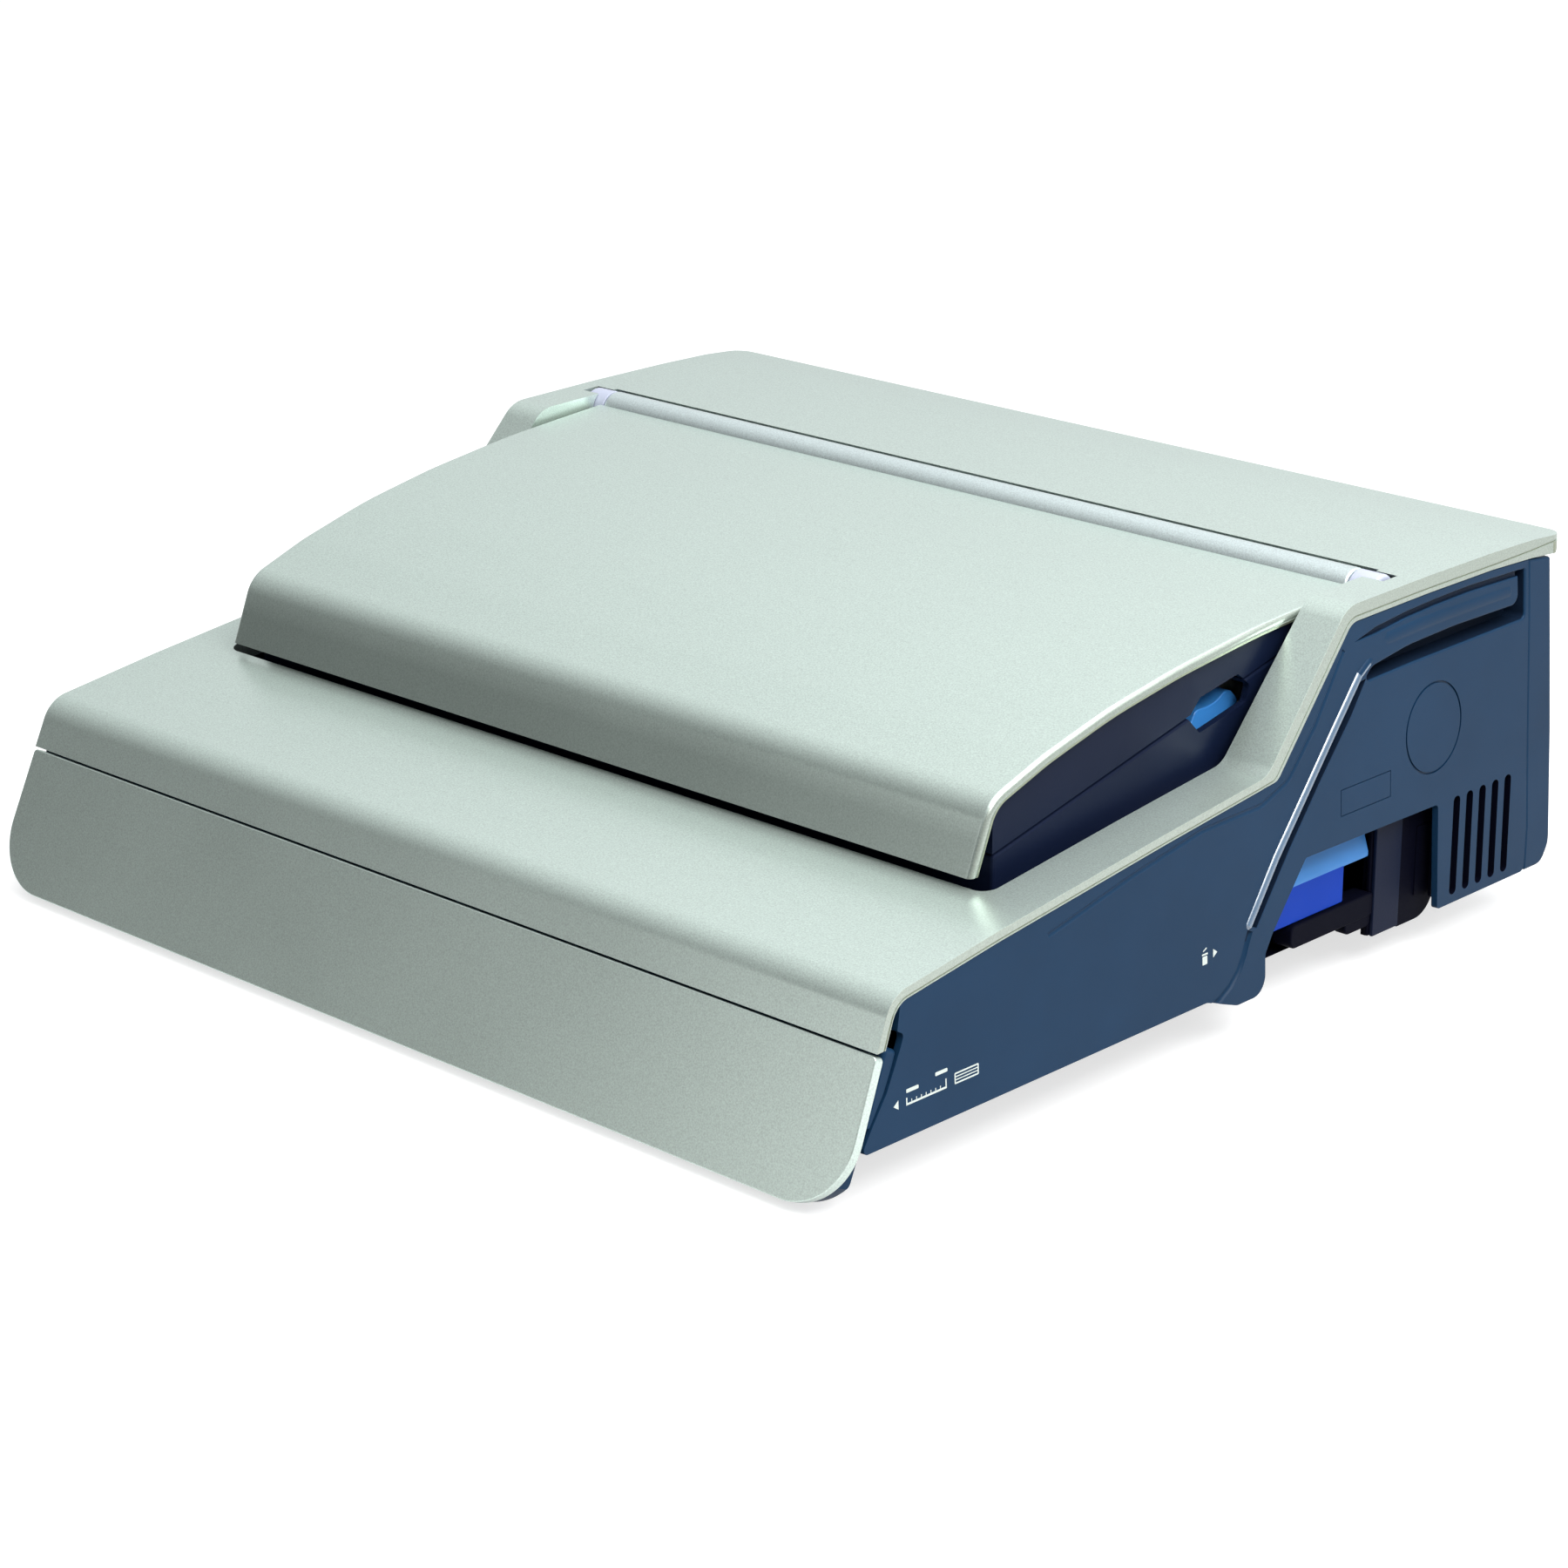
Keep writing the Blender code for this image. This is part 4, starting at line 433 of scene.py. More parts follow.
def turned(name, profile, centre, sides):
    """A piece turned round X, from (radius, position on X) pairs that begin and end on the axis."""
    mesh = bpy.data.meshes.new(name)
    points = [(radius * MM, 0, position * MM) for radius, position in profile]
    edges = [(index, index + 1) for index in range(len(points) - 1)]
    mesh.from_pydata(points, edges, [])
    lathe = add_object(name + "_profile", mesh)
    screw = lathe.modifiers.new("turn", "SCREW")
    screw.steps = sides
    screw.render_steps = sides
    screw.use_merge_vertices = True
    screw.merge_threshold = 0.00001
    body = evaluated_mesh(lathe)
    bpy.data.objects.remove(lathe, do_unlink=True)
    body.transform(AXES["x"])
    body.transform(Matrix.Translation(Vector((0.0, *centre)) * MM))
    return add_object(name, welded(body))


def sweep(name, points, radius, resolution=5):
    """A round bar along a line of points in space."""
    curve = bpy.data.curves.new(name, "CURVE")
    curve.dimensions = "3D"
    curve.bevel_depth = radius * MM
    curve.bevel_resolution = resolution
    curve.use_fill_caps = True
    spline = curve.splines.new("POLY")
    spline.points.add(len(points) - 1)
    for point, place in zip(spline.points, points):
        point.co = (*(Vector(place) * MM), 1)
    path = add_object(name + "_path", curve)
    mesh = evaluated_mesh(path)
    bpy.data.objects.remove(path, do_unlink=True)
    return add_object(name, welded(mesh))


def combine(target, other, operation):
    modifier = target.modifiers.new(operation.lower(), "BOOLEAN")
    modifier.operation = operation
    modifier.solver = "EXACT"
    modifier.object = other


def cut(target, *cutters):
    for cutter in cutters:
        combine(target, cutter, "DIFFERENCE")


def join(target, *others):
    for other in others:
        combine(target, other, "UNION")


def round_edges(obj, width, segments=5, angle=50):
    bevel = obj.modifiers.new("round", "BEVEL")
    bevel.width = width * MM
    bevel.segments = segments
    bevel.limit_method = "ANGLE"
    bevel.angle_limit = math.radians(angle)


def bake(obj, *helpers, sharp=28):
    """Applies an object's modifiers, removes its helpers and shades it smooth with even normals."""
    bpy.context.view_layer.update()
    mesh = evaluated_mesh(obj)
    obj.modifiers.clear()
    obj.data = mesh
    for helper in helpers:
        bpy.data.objects.remove(helper, do_unlink=True)
    mesh.materials.clear()
    mesh.shade_smooth()
    mesh.set_sharp_from_angle(angle=math.radians(sharp))
    weighted = obj.modifiers.new("even_normals", "WEIGHTED_NORMAL")
    weighted.keep_sharp = True
    weighted.weight = 60


def envelope(name, radius, inset=0.0, rear=BACK):
    """A block whose sides lean inward as the casing's do, with its rear corners rounded."""
    half = half_width(0) - inset
    front = -CUTTER_REACH
    corners = [(-half, front), (half, front), (half, rear, radius), (-half, rear, radius)]
    solid = slab(name, [rounded(corners, step=5)], "z", -5.0, 180.0)
    for vertex in solid.data.vertices:
        z = vertex.co.z / MM
        vertex.co.x *= (half_width(z) - inset) / half
    return solid


def lid_plan(name, inset=0.0):
    """A block with the lid's plan, which widens towards the rear."""
    front = lid_half(-LID_PLAN_REACH) - inset
    rear = lid_half(LID_PLAN_REACH) - inset
    reach = LID_PLAN_REACH
    corners = [(-front, -reach), (front, -reach), (rear, reach), (-rear, reach)]
    return slab(name, [corners], "z", LID_UNDER, 200.0)


# Materials

def new_material(name):
    material = bpy.data.materials.new(name)
    material.use_nodes = True
    nodes = material.node_tree.nodes
    return material, nodes["Principled BSDF"], nodes, material.node_tree.links


def set_inputs(node, values):
    for name, value in values.items():
        node.inputs[name].default_value = value


def noise(nodes, links, scale, detail=3.0, rough=0.5, stretch=None):
    """Noise that is fixed to the object, drawn out along an axis if a stretch is given."""
    place_at = nodes.new("ShaderNodeTexCoord").outputs["Object"]
    if stretch:
        mapping = nodes.new("ShaderNodeMapping")
        mapping.inputs["Scale"].default_value = stretch
        links.new(place_at, mapping.inputs["Vector"])
        place_at = mapping.outputs["Vector"]
    texture = nodes.new("ShaderNodeTexNoise")
    set_inputs(texture, {"Scale": scale, "Detail": detail, "Roughness": rough})
    links.new(place_at, texture.inputs["Vector"])
    return texture.outputs["Fac"]


def ramp(nodes, links, source, colour, stops):
    """Maps a value to shades of a colour by (position, factor) stops."""
    mapper = nodes.new("ShaderNodeValToRGB")
    elements = mapper.color_ramp.elements
    while len(elements) < len(stops):
        elements.new(0.5)
    for element, (position, factor) in zip(elements, stops):
        element.position = position
        element.color = (*[min(1.0, channel * factor) for channel in colour], 1.0)
    links.new(source, mapper.inputs["Fac"])
    return mapper.outputs["Color"]


def spread(nodes, links, source, low, high, start=0.0, end=1.0):
    """Maps start..end to low..high."""
    mapper = nodes.new("ShaderNodeMapRange")
    set_inputs(mapper, {"From Min": start, "From Max": end, "To Min": low, "To Max": high})
    links.new(source, mapper.inputs["Value"])
    return mapper.outputs["Result"]


def bump(nodes, links, shader, source, strength, distance):
    """Gives a shader relief from a value."""
    node = nodes.new("ShaderNodeBump")
    set_inputs(node, {"Strength": strength, "Distance": distance})
    links.new(source, node.inputs["Height"])
    links.new(node.outputs["Normal"], shader.inputs["Normal"])


def painted_shade_below(nodes, links, colour, low, high, dark):
    """Painted shade: darkens a colour below a height, with a soft change between the two heights."""
    place_at = nodes.new("ShaderNodeTexCoord")
    split = nodes.new("ShaderNodeSeparateXYZ")
    scale = nodes.new("ShaderNodeVectorMath")
    scale.operation = "SCALE"
    links.new(place_at.outputs["Object"], split.inputs["Vector"])
    links.new(colour, scale.inputs[0])
    links.new(spread(nodes, links, split.outputs["Z"], dark, 1.0, low, high), scale.inputs["Scale"])
    return scale.outputs["Vector"]


def silver_paint(name, colour, painted_shade=None):
    """Metallic paint: fine flakes and a faint orange peel. A painted shade, given as two heights and a dark
    factor, darkens it below a height.
    """
    material, shader, nodes, links = new_material(name)
    flakes = noise(nodes, links, 1500.0, 2.0, 0.6)
    paint = ramp(nodes, links, flakes, colour, [(0.32, 0.86), (0.5, 1.0), (0.70, 1.14)])
    if painted_shade:
        paint = painted_shade_below(nodes, links, paint, *painted_shade)
    links.new(paint, shader.inputs["Base Color"])
    cloud = noise(nodes, links, 14.0, 2.0)
    links.new(spread(nodes, links, cloud, 0.28, 0.33), shader.inputs["Roughness"])
    bump(nodes, links, shader, noise(nodes, links, 420.0, 2.0), 0.06, 0.0002)
    set_inputs(shader, {"Metallic": 0.72, "Coat Weight": 0.25, "Coat Roughness": 0.22})
    return material


def grained_plastic(name, colour, rough=0.42, grain=900.0, depth=0.00006, strength=0.35, gloss=0.5,
                    coat=0.0):
    """Moulded plastic with a fine spark-eroded grain and slight changes of gloss."""
    material, shader, nodes, links = new_material(name)
    shades = ramp(nodes, links, noise(nodes, links, 22.0), colour, [(0.3, 0.93), (0.7, 1.07)])
    links.new(shades, shader.inputs["Base Color"])
    links.new(spread(nodes, links, noise(nodes, links, 60.0), rough - 0.04, rough + 0.05),
              shader.inputs["Roughness"])
    bump(nodes, links, shader, noise(nodes, links, grain), strength, depth)
    set_inputs(shader, {"Specular IOR Level": gloss, "Coat Weight": coat, "Coat Roughness": 0.25,
                        "Coat IOR": 2.2})
    return material


def brushed_metal(name, colour, rough, stretch=(1, 60, 60)):
    """Ground metal: fine lines along X and small changes of gloss."""
    material, shader, nodes, links = new_material(name)
    lines = noise(nodes, links, 40.0, 4.0, stretch=stretch)
    shades = ramp(nodes, links, lines, colour, [(0.3, 0.88), (0.7, 1.08)])
    links.new(shades, shader.inputs["Base Color"])
    links.new(spread(nodes, links, lines, rough - 0.06, rough + 0.10), shader.inputs["Roughness"])
    bump(nodes, links, shader, lines, 0.12, 0.0001)
    shader.inputs["Metallic"].default_value = 1.0
    return material


def plain_print(name, colour):
    """Pad-printed ink on plastic."""
    material, shader, nodes, links = new_material(name)
    shades = ramp(nodes, links, noise(nodes, links, 2500.0, 2.0), colour, [(0.25, 0.9), (0.6, 1.0)])
    links.new(shades, shader.inputs["Base Color"])
    shader.inputs["Roughness"].default_value = 0.5
    return material


SILVER = (0.600, 0.700, 0.645)
LOOKS = {
    "silver": silver_paint("silver_paint", SILVER),
    "slate": grained_plastic("slate_plastic", (0.0075, 0.031, 0.072), 0.34, 1400.0, 0.00003, 0.25,
                             gloss=0.11),
    # The rib's slate is glossier and paler: the gloss is its own, the paler colour a painted highlight.
    "slate_rib": grained_plastic("slate_rib_painted_highlight", (0.030, 0.090, 0.17), 0.27, 1400.0, 0.00001, 0.06,
                                 gloss=1.0, coat=0.7),
    "black": grained_plastic("black_plastic", (0.0025, 0.0028, 0.008), 0.52, gloss=0.03),
    "charcoal": grained_plastic("charcoal_plastic", (0.0045, 0.0085, 0.026), 0.46, gloss=0.10),
    "blue": grained_plastic("blue_plastic", (0.002, 0.040, 0.37), 0.42, 700.0, gloss=0.10),
    # A paler blue than the bin: painted light on the lever's top.
    "lever": grained_plastic("lever_painted_light", (0.05, 0.27, 0.72), 0.34, 700.0, gloss=0.35),
    # A paler blue than the bin: painted light on the lip's lit top face.
    "lip": grained_plastic("lip_painted_light", (0.05, 0.22, 0.56), 0.40, 700.0, gloss=0.3),
    # A darker slate for the grip and the groove: painted shade.
    "recess": grained_plastic("recess_painted_shade", (0.006, 0.014, 0.032), 0.50, gloss=0.12),
    "pale": grained_plastic("pale_plastic", (0.44, 0.47, 0.58), 0.30, 1200.0, 0.00003),
    "steel": brushed_metal("ground_steel", (0.50, 0.51, 0.52), 0.28),
    "zinc": brushed_metal("zinc_plate", (0.60, 0.61, 0.60), 0.36, (8, 8, 8)),
    "brass": brushed_metal("bronze", (0.62, 0.46, 0.18), 0.32),
    "rubber": grained_plastic("foot_rubber", (0.014, 0.014, 0.015), 0.8, 500.0, 0.0001, 0.6),
    "nylon": grained_plastic("nylon", (0.72, 0.70, 0.63), 0.42, 500.0),
    "board": grained_plastic("board", (0.015, 0.14, 0.05), 0.35, 300.0),
    # A brighter silver for the hinge barrel: painted light for its highlight.
    "barrel": silver_paint("barrel_painted_light", (0.68, 0.77, 0.77)),
    # A darker silver for the rolled edges: painted shade.
    "roll": silver_paint("roll_painted_shade", (0.38, 0.43, 0.38)),
    # The lid's silver darkens below its front roll: painted shade on the front face.
    "lid": silver_paint("lid_painted_shade", SILVER, (0.108, 0.124, 0.62)),
    # A darker, greener silver for the strip below the fine groove: painted shade and painted reflection.
    "rim": silver_paint("rim_painted_shade", (0.26, 0.29, 0.21)),
    "ink": plain_print("pale_ink", (0.60, 0.66, 0.62)),
}


def dress_cad_nodes():
    """Gives every CAD node that stays on show the material of its slot, but the closer lever a paler blue
    that is painted light.
    """
    slots = {entry["node"]: entry["material_slot"] for entry in frame["record"]["subparts"]}
    for node, obj in frame["nodes"].items():
        # The closer lever's paler blue is painted light on its top.
        look = LOOKS["lever" if node == "closer_lever" else slots[node]]
        if obj.material_slots:
            for entry in obj.material_slots:
                entry.material = look
        else:
            obj.data.materials.append(look)


def place(obj, look, body, slot=None, node=None):
    """Puts a finished piece on a body, with its material, in place of a CAD node where one is named."""
    obj.data.materials.clear()
    obj.data.materials.append(LOOKS[look])
    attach(obj, body)
    if node:
        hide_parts(node)


def add_looks(obj, *looks):
    """Gives an object further materials, for single faces."""
    for look in looks:
        obj.data.materials.append(LOOKS[look])


# The silver shells

def make_top_cover():
    """One shell over the deck, the cheeks and the rear top, open over the work body."""
    line = rounded(COVER_CORNERS, closed=False, step=2.5)
    cover = slab("top_cover_shell", [line + offset_line(line, 11.0)[::-1]], "x", -COVER_REACH, COVER_REACH)
    limit = envelope("cover_envelope", REAR_CORNER_RADIUS)
    combine(cover, limit, "INTERSECT")
    round_edges(cover, COVER_ROUND, 7)
    inner = offset_line(line, SKIN)[:-1]
    rear = BACK - SKIN
    section = inner + [(rear, inner[-1][1]), (rear, 20), (inner[0][0], 20)]
    hollow = slab("cover_hollow", [section], "x", -COVER_REACH, COVER_REACH)
    inside = envelope("cover_hollow_envelope", REAR_CORNER_RADIUS - SKIN, inset=SKIN, rear=rear)
    combine(hollow, inside, "INTERSECT")
    skirt = trim_line()
    section = skirt + [(BACK + 20, 10), (skirt[0][0], 10)]
    below = slab("cover_below", [section], "x", -CUTTER_REACH, CUTTER_REACH)
    seam = block("cover_seam", (-CUTTER_REACH, -CUTTER_REACH, 0), (CUTTER_REACH, -190, SEAM_Z))
    cut(cover, hollow, below, seam)
    walls = opening_walls(line)
    join(cover, *walls)
    openings = cover_openings()
    cut(cover, *openings)
    groove = sweep("rim_groove", groove_path(), COVER_GROOVE_RADIUS, resolution=1)
    cut(cover, groove)
    bake(cover, limit, hollow, inside, below, seam, groove, *walls, *openings)
    place(cover, "silver", "casing", "silver", "top_cover")
    tint_cover(cover)


def groove_path():
    """The groove's way along the right side, round the rear corners and back along the left side."""
    line = groove_line()
    radius = REAR_CORNER_RADIUS
    corner_y = BACK - radius
    right = [(half_width(z), y, z) for y, z in line if y < corner_y - 2]
    for index in range(REAR_ARC_STEPS + 1):
        angle = math.radians(90 * index / REAR_ARC_STEPS)
        y = corner_y + radius * math.sin(angle)
        z = height_on(line, y)
        right.append((half_width(z) - radius + radius * math.cos(angle), y, z))
    return right + [(-x, y, z) for x, y, z in reversed(right)]


def tint_cover(cover):
    """Paints shade on the cover's edges: the strip below the fine groove gets a darker, greener painted
    shade and reflection, and the rolled edge a darker painted shade.
    """
    line = groove_line()
    add_looks(cover, "rim", "roll")
    for face in cover.data.polygons:
        x, y, z = face.center / MM
        outside = abs(x) > half_width(z) - COVER_ROUND or y > BACK - 1.0
        if outside and z < height_on(line, y) and abs(face.normal.z) < 0.55:
            face.material_index = 1
        elif outside and abs(face.normal.x) > 0.4:
            face.material_index = 2


def opening_walls(line):
    """The walls that stand down from the opening's edges: curbs beside the deck, cheeks behind them."""
    walls = []
    edge = offset_line(line, 1.0)
    curb = between(edge, OPENING_FRONT - CURB_WALL, 20)
    curb += [(y, z - 8) for y, z in reversed(curb)]
    cheek = between(edge, 10, 125) + [(125, 140), (112, 128), (60, 94), (10, 94)]
    for side, tag in SIDES:
        low, high = sorted((side * (OPENING_HALF - 3), side * (OPENING_HALF + SKIN)))
        walls.append(slab("curb_" + tag, [curb], "x", low, high))
        walls.append(slab("cheek_" + tag, [cheek], "x", low, high))
    front = height_on(line, OPENING_FRONT)
    walls.append(block("curb_front", (-OPENING_HALF - 1, OPENING_FRONT - CURB_WALL, front - 9),
                       (OPENING_HALF + 1, OPENING_FRONT + 3, front - 1)))
    return walls


def cover_openings():
    """Cutters for the lid's opening and for the room round the hinge barrel and its caps."""
    rear = HINGE_Y + 0.5
    corners = [(-OPENING_HALF, OPENING_FRONT, 7), (OPENING_HALF, OPENING_FRONT, 7), (OPENING_HALF, rear),
               (-OPENING_HALF, rear)]
    opening = slab("lid_opening", [rounded(corners, step=6)], "z", 50, 200)
    barrel = rod("barrel_clearance", BARREL_RADIUS + 1.7, -OPENING_HALF, OPENING_HALF, HINGE)
    caps = rod("cap_clearance", BARREL_RADIUS + 0.4, -CAP_END - 3.0, CAP_END + 3.0, HINGE)
    return opening, barrel, caps


def make_lid_shell():
    """The lid's shell, open below and behind, with the room for the hinge barrel."""
    line = rounded(LID_CORNERS, closed=False, step=2.0)
    shell = slab("lid_cover", [line + offset_line(line, 10)[::-1]], "x", -LID_REACH, LID_REACH)
    limit = lid_plan("lid_outer")
    combine(shell, limit, "INTERSECT")
    round_edges(shell, LID_ROUND, 6)
    rear = LID_PLAN_REACH
    inner = extended(offset_line(line, LID_SKIN), rear)
    section = inner + [(rear, LID_UNDER), (inner[0][0], LID_UNDER)]
    hollow = slab("lid_hollow", [section], "x", -LID_REACH, LID_REACH)
    inside = lid_plan("lid_inner", LID_SKIN)
    combine(hollow, inside, "INTERSECT")
    edge = extended(offset_line(line, LID_EDGE), rear)
    section = edge + [(rear, LID_UNDER), (edge[0][0], LID_UNDER)]
    across = LID_CUTTER_REACH
    below = slab("lid_below", [section], "x", -across, across)
    front = block("lid_front_cut", (-across, -rear, LID_UNDER), (across, -90, LID_FRONT_Z))
    barrel = rod("lid_barrel_clearance", BARREL_RADIUS + GAP, -across, across, HINGE)
    cut(shell, hollow, below, front, barrel)
    groove = lid_grooves(line)
    cut(shell, *groove)
    bake(shell, limit, hollow, inside, below, front, barrel, *groove)
    place(shell, "lid", "lid", "silver", "lid_shell")
    tint_lid(shell, line)


def tint_lid(shell, line):
    """Paints shade on the lid's edges: the strip below each fine groove gets a darker, greener painted
    shade and reflection, and the rolled edge a darker painted shade.
    """
    edge = offset_line(line, LID_GROOVE_DEPTH)
    add_looks(shell, "rim", "roll")
    for face in shell.data.polygons:
        x, y, z = face.center / MM
        if abs(face.normal.x) > 0.9 and abs(x) > lid_half(y) - 0.6 and z < height_on(edge, y):
            face.material_index = 1
        elif abs(face.normal.x) > 0.4 and abs(x) > lid_half(y) - 2.5:
            face.material_index = 2


def lid_grooves(line):
    """The fine groove along each side of the lid."""
    path = offset_line(line, LID_GROOVE_DEPTH)
    grooves = []
    for side, tag in SIDES:
        points = [(side * lid_half(y), y, z) for y, z in path]
        grooves.append(sweep("lid_groove_" + tag, points, LID_GROOVE_RADIUS, resolution=1))
    return grooves


def make_hinge():
    """The hinge barrel with its rounded ends, and the cap beside each end."""
    end = BARREL_HALF
    radius = BARREL_RADIUS
    profile = [(0, end), (radius - 1.2, end), (radius - 0.35, end - 0.35), (radius, end - 1.2),
               (radius, -end + 1.2), (radius - 0.35, -end + 0.35), (radius - 1.2, -end), (0, -end)]
    barrel = turned("hinge_tube", profile, HINGE, 72)
    bake(barrel, sharp=50)
    # The barrel's brighter silver is painted light for its highlight.
    place(barrel, "barrel", "lid", "silver", "hinge_barrel")
    radius = BARREL_RADIUS - 0.2
    for side, tag in SIDES:
        inner, outer = side * (end + 0.6), side * CAP_END
        dent = outer - side * 0.5
        shape = [(0, inner), (radius - 0.4, inner), (radius, inner + side * 0.4),
                 (radius, outer - side * 1.6), (radius - 0.5, dent), (radius - 1.6, outer), (2.6, outer),
                 (2.2, dent), (0, dent)]
        cap = turned("hinge_end_" + tag, shape, HINGE, 56)
        bake(cap, sharp=50)
        place(cap, "pale", "casing", "pale", "hinge_cap_" + tag)


# The front drawer

def fascia_matrix():
    """Places pieces made flat: x across, y up the fascia, z out of its face, zero at the seam."""
    up = Vector((0, FASCIA_TILT, 1)).normalized()
    out = Vector((1, 0, 0)).cross(up)
    matrix = Matrix((Vector((1, 0, 0)), up, out)).transposed().to_4x4()
    return Matrix.Translation(Vector((0, SEAM_Y, SEAM_Z)) * MM) @ matrix


def fascia_outline(inset, top, radius):
    """The front panel's outline in its own plane, narrowed by an inset."""
    length = (SEAM_Z - FASCIA_BOTTOM) * math.hypot(1, FASCIA_TILT) - inset
    low = half_width(FASCIA_BOTTOM) - inset
    high = half_width(SEAM_Z + top) - inset
    corners = [(-low, -length, radius), (low, -length, radius), (high, top, 2), (-high, top, 2)]
    return rounded(corners, step=4)


def make_front_panel():
    """The silver panel and the dark frame behind it, which is cut back beside the side panels."""
    fascia = slab("front_panel", [fascia_outline(0.0, -1.0, 27)], "z", FASCIA_BACK, 0)
    trim = slab("front_panel_frame", [fascia_outline(0.9, 2.6, 26)], "z", FRAME_BACK, FRAME_FACE)
    round_edges(fascia, 2.1, 6)
    round_edges(trim, 1.6, 4)
    for piece in (fascia, trim):
        piece.data.transform(fascia_matrix())
    reach = CUTTER_REACH
    clear = block("frame_top_cut", (-reach, -230, SEAM_Z - 0.6), (reach, fascia_y(SEAM_Z) + 8.6, 90))
    behind = [(-193.2, 61.0), (-193.2, 59.6), (-201.4, 44.4), (-209.4, 33.4), (-225, 33.4), (-225, 0),
              (-170, 0), (-170, 61.0)]
    sides = [slab("frame_cut_left", [behind], "x", -reach, -242),
             slab("frame_cut_right", [behind], "x", 242, reach)]
    cut(trim, clear, *sides)
    bake(fascia)
    bake(trim, clear, *sides)
    place(fascia, "silver", "front_drawer", "silver", "drawer_fascia")
    place(trim, "slate", "front_drawer", "slate", "drawer_front_frame")


# The side panels

def panel_outline(side):
    """The panel's whole outline, as seen from the right. The right-hand one leaves the waste bay open."""
    top = between(offset_line(trim_line(), GAP), -192.0, 203.1)
    rear = [(203.8, 131.5), (204.2, 79.0), (205.0, 39.0), (203.5, PANEL_REAR_BOTTOM, 3)]
    bay = [(139.8, PANEL_REAR_BOTTOM, 1.5), (139.8, 65.7, 2), (49.0, 66.6, 2), (27.0, 40.8, 8),
           (22.3, 33.5, 4), (22.3, FOOT_BOTTOM, 11)]
    plain = [(28.0, PANEL_REAR_BOTTOM, 2), (20.0, FOOT_BOTTOM, 6)]
    front = [(4.0, FOOT_BOTTOM, 8), (-15.0, PANEL_BOTTOM, 6), (-215.2, PANEL_BOTTOM, 2),
             (-208.4, 33.8, 6), (-200.6, 44.0, 6), (-192.3, 59.6), (-190.4, 64.0, 2), (-194.0, 65.8, 1)]
    middle = bay if side > 0 else plain
    return top + rounded([top[-1], *rear, *middle, *front, top[0]], step=8)[1:-1]


def groove_outline():
    return GROOVE_REAR + GROOVE_FRONT[::-1]


def channel_outline():
    upper = [(y, z + CHANNEL_HALF) for y, z in CHANNEL_LINE[1:]]
    lower = [(y, z - CHANNEL_HALF) for y, z in CHANNEL_LINE[1:]]
    return [CHANNEL_LINE[0], *lower, *upper[::-1]]


def grip_outline():
    corners = [(87.0, 130.3, 3), (120.0, 131.2, 60), (201.0, 132.0, 2.4), (200.6, 153.4, 1),
               (195.6, 153.4, 1), (196.2, 139.2, 4.5), (150.0, 139.8, 100), (118.0, 138.8, 60),
               (93.0, 135.6, 7)]
    return rounded(corners, step=12)


def vent_outlines():
    """Upright slots that lean back a little."""
    outlines = []
    for index in range(VENTS):
        low, high = 150.6 + 9.35 * index, 153.4 + 9.3 * index
        corners = [(low - VENT_HALF, VENT_LOW), (low + VENT_HALF, VENT_LOW), (high + VENT_HALF, VENT_HIGH),
                   (high - VENT_HALF, VENT_HIGH)]
        outlines.append(rounded([(*corner, VENT_ROUND) for corner in corners], step=15))
    return outlines


def flared(name, outline, side, outer, depth, lip):
    """A cutter for a pocket in the side whose edge is rounded: the outline widens towards the surface."""
    rings = [(side * (outer + 5.0), lip)]
    for index in range(FLARE_RINGS + 1):
        below = lip * index / FLARE_RINGS
        rings.append((side * (outer - below), lip - math.sqrt(max(0.0, lip ** 2 - (lip - below) ** 2))))
    rings.append((side * (outer - depth), 0.0))
    count = len(outline)
    points = []
    for x, spread_by in rings:
        points += [Vector((x, y, z)) * MM for y, z in offset_closed(outline, spread_by)]
    faces = [list(range(count)), list(range((len(rings) - 1) * count, len(rings) * count))]
    for ring in range(len(rings) - 1):
        for index in range(count):
            here, there = ring * count + index, ring * count + (index + 1) % count
            faces.append([here, there, there + count, here + count])
    mesh = bpy.data.meshes.new(name)
    mesh.from_pydata(points, [], faces)
    return add_object(name, welded(mesh))


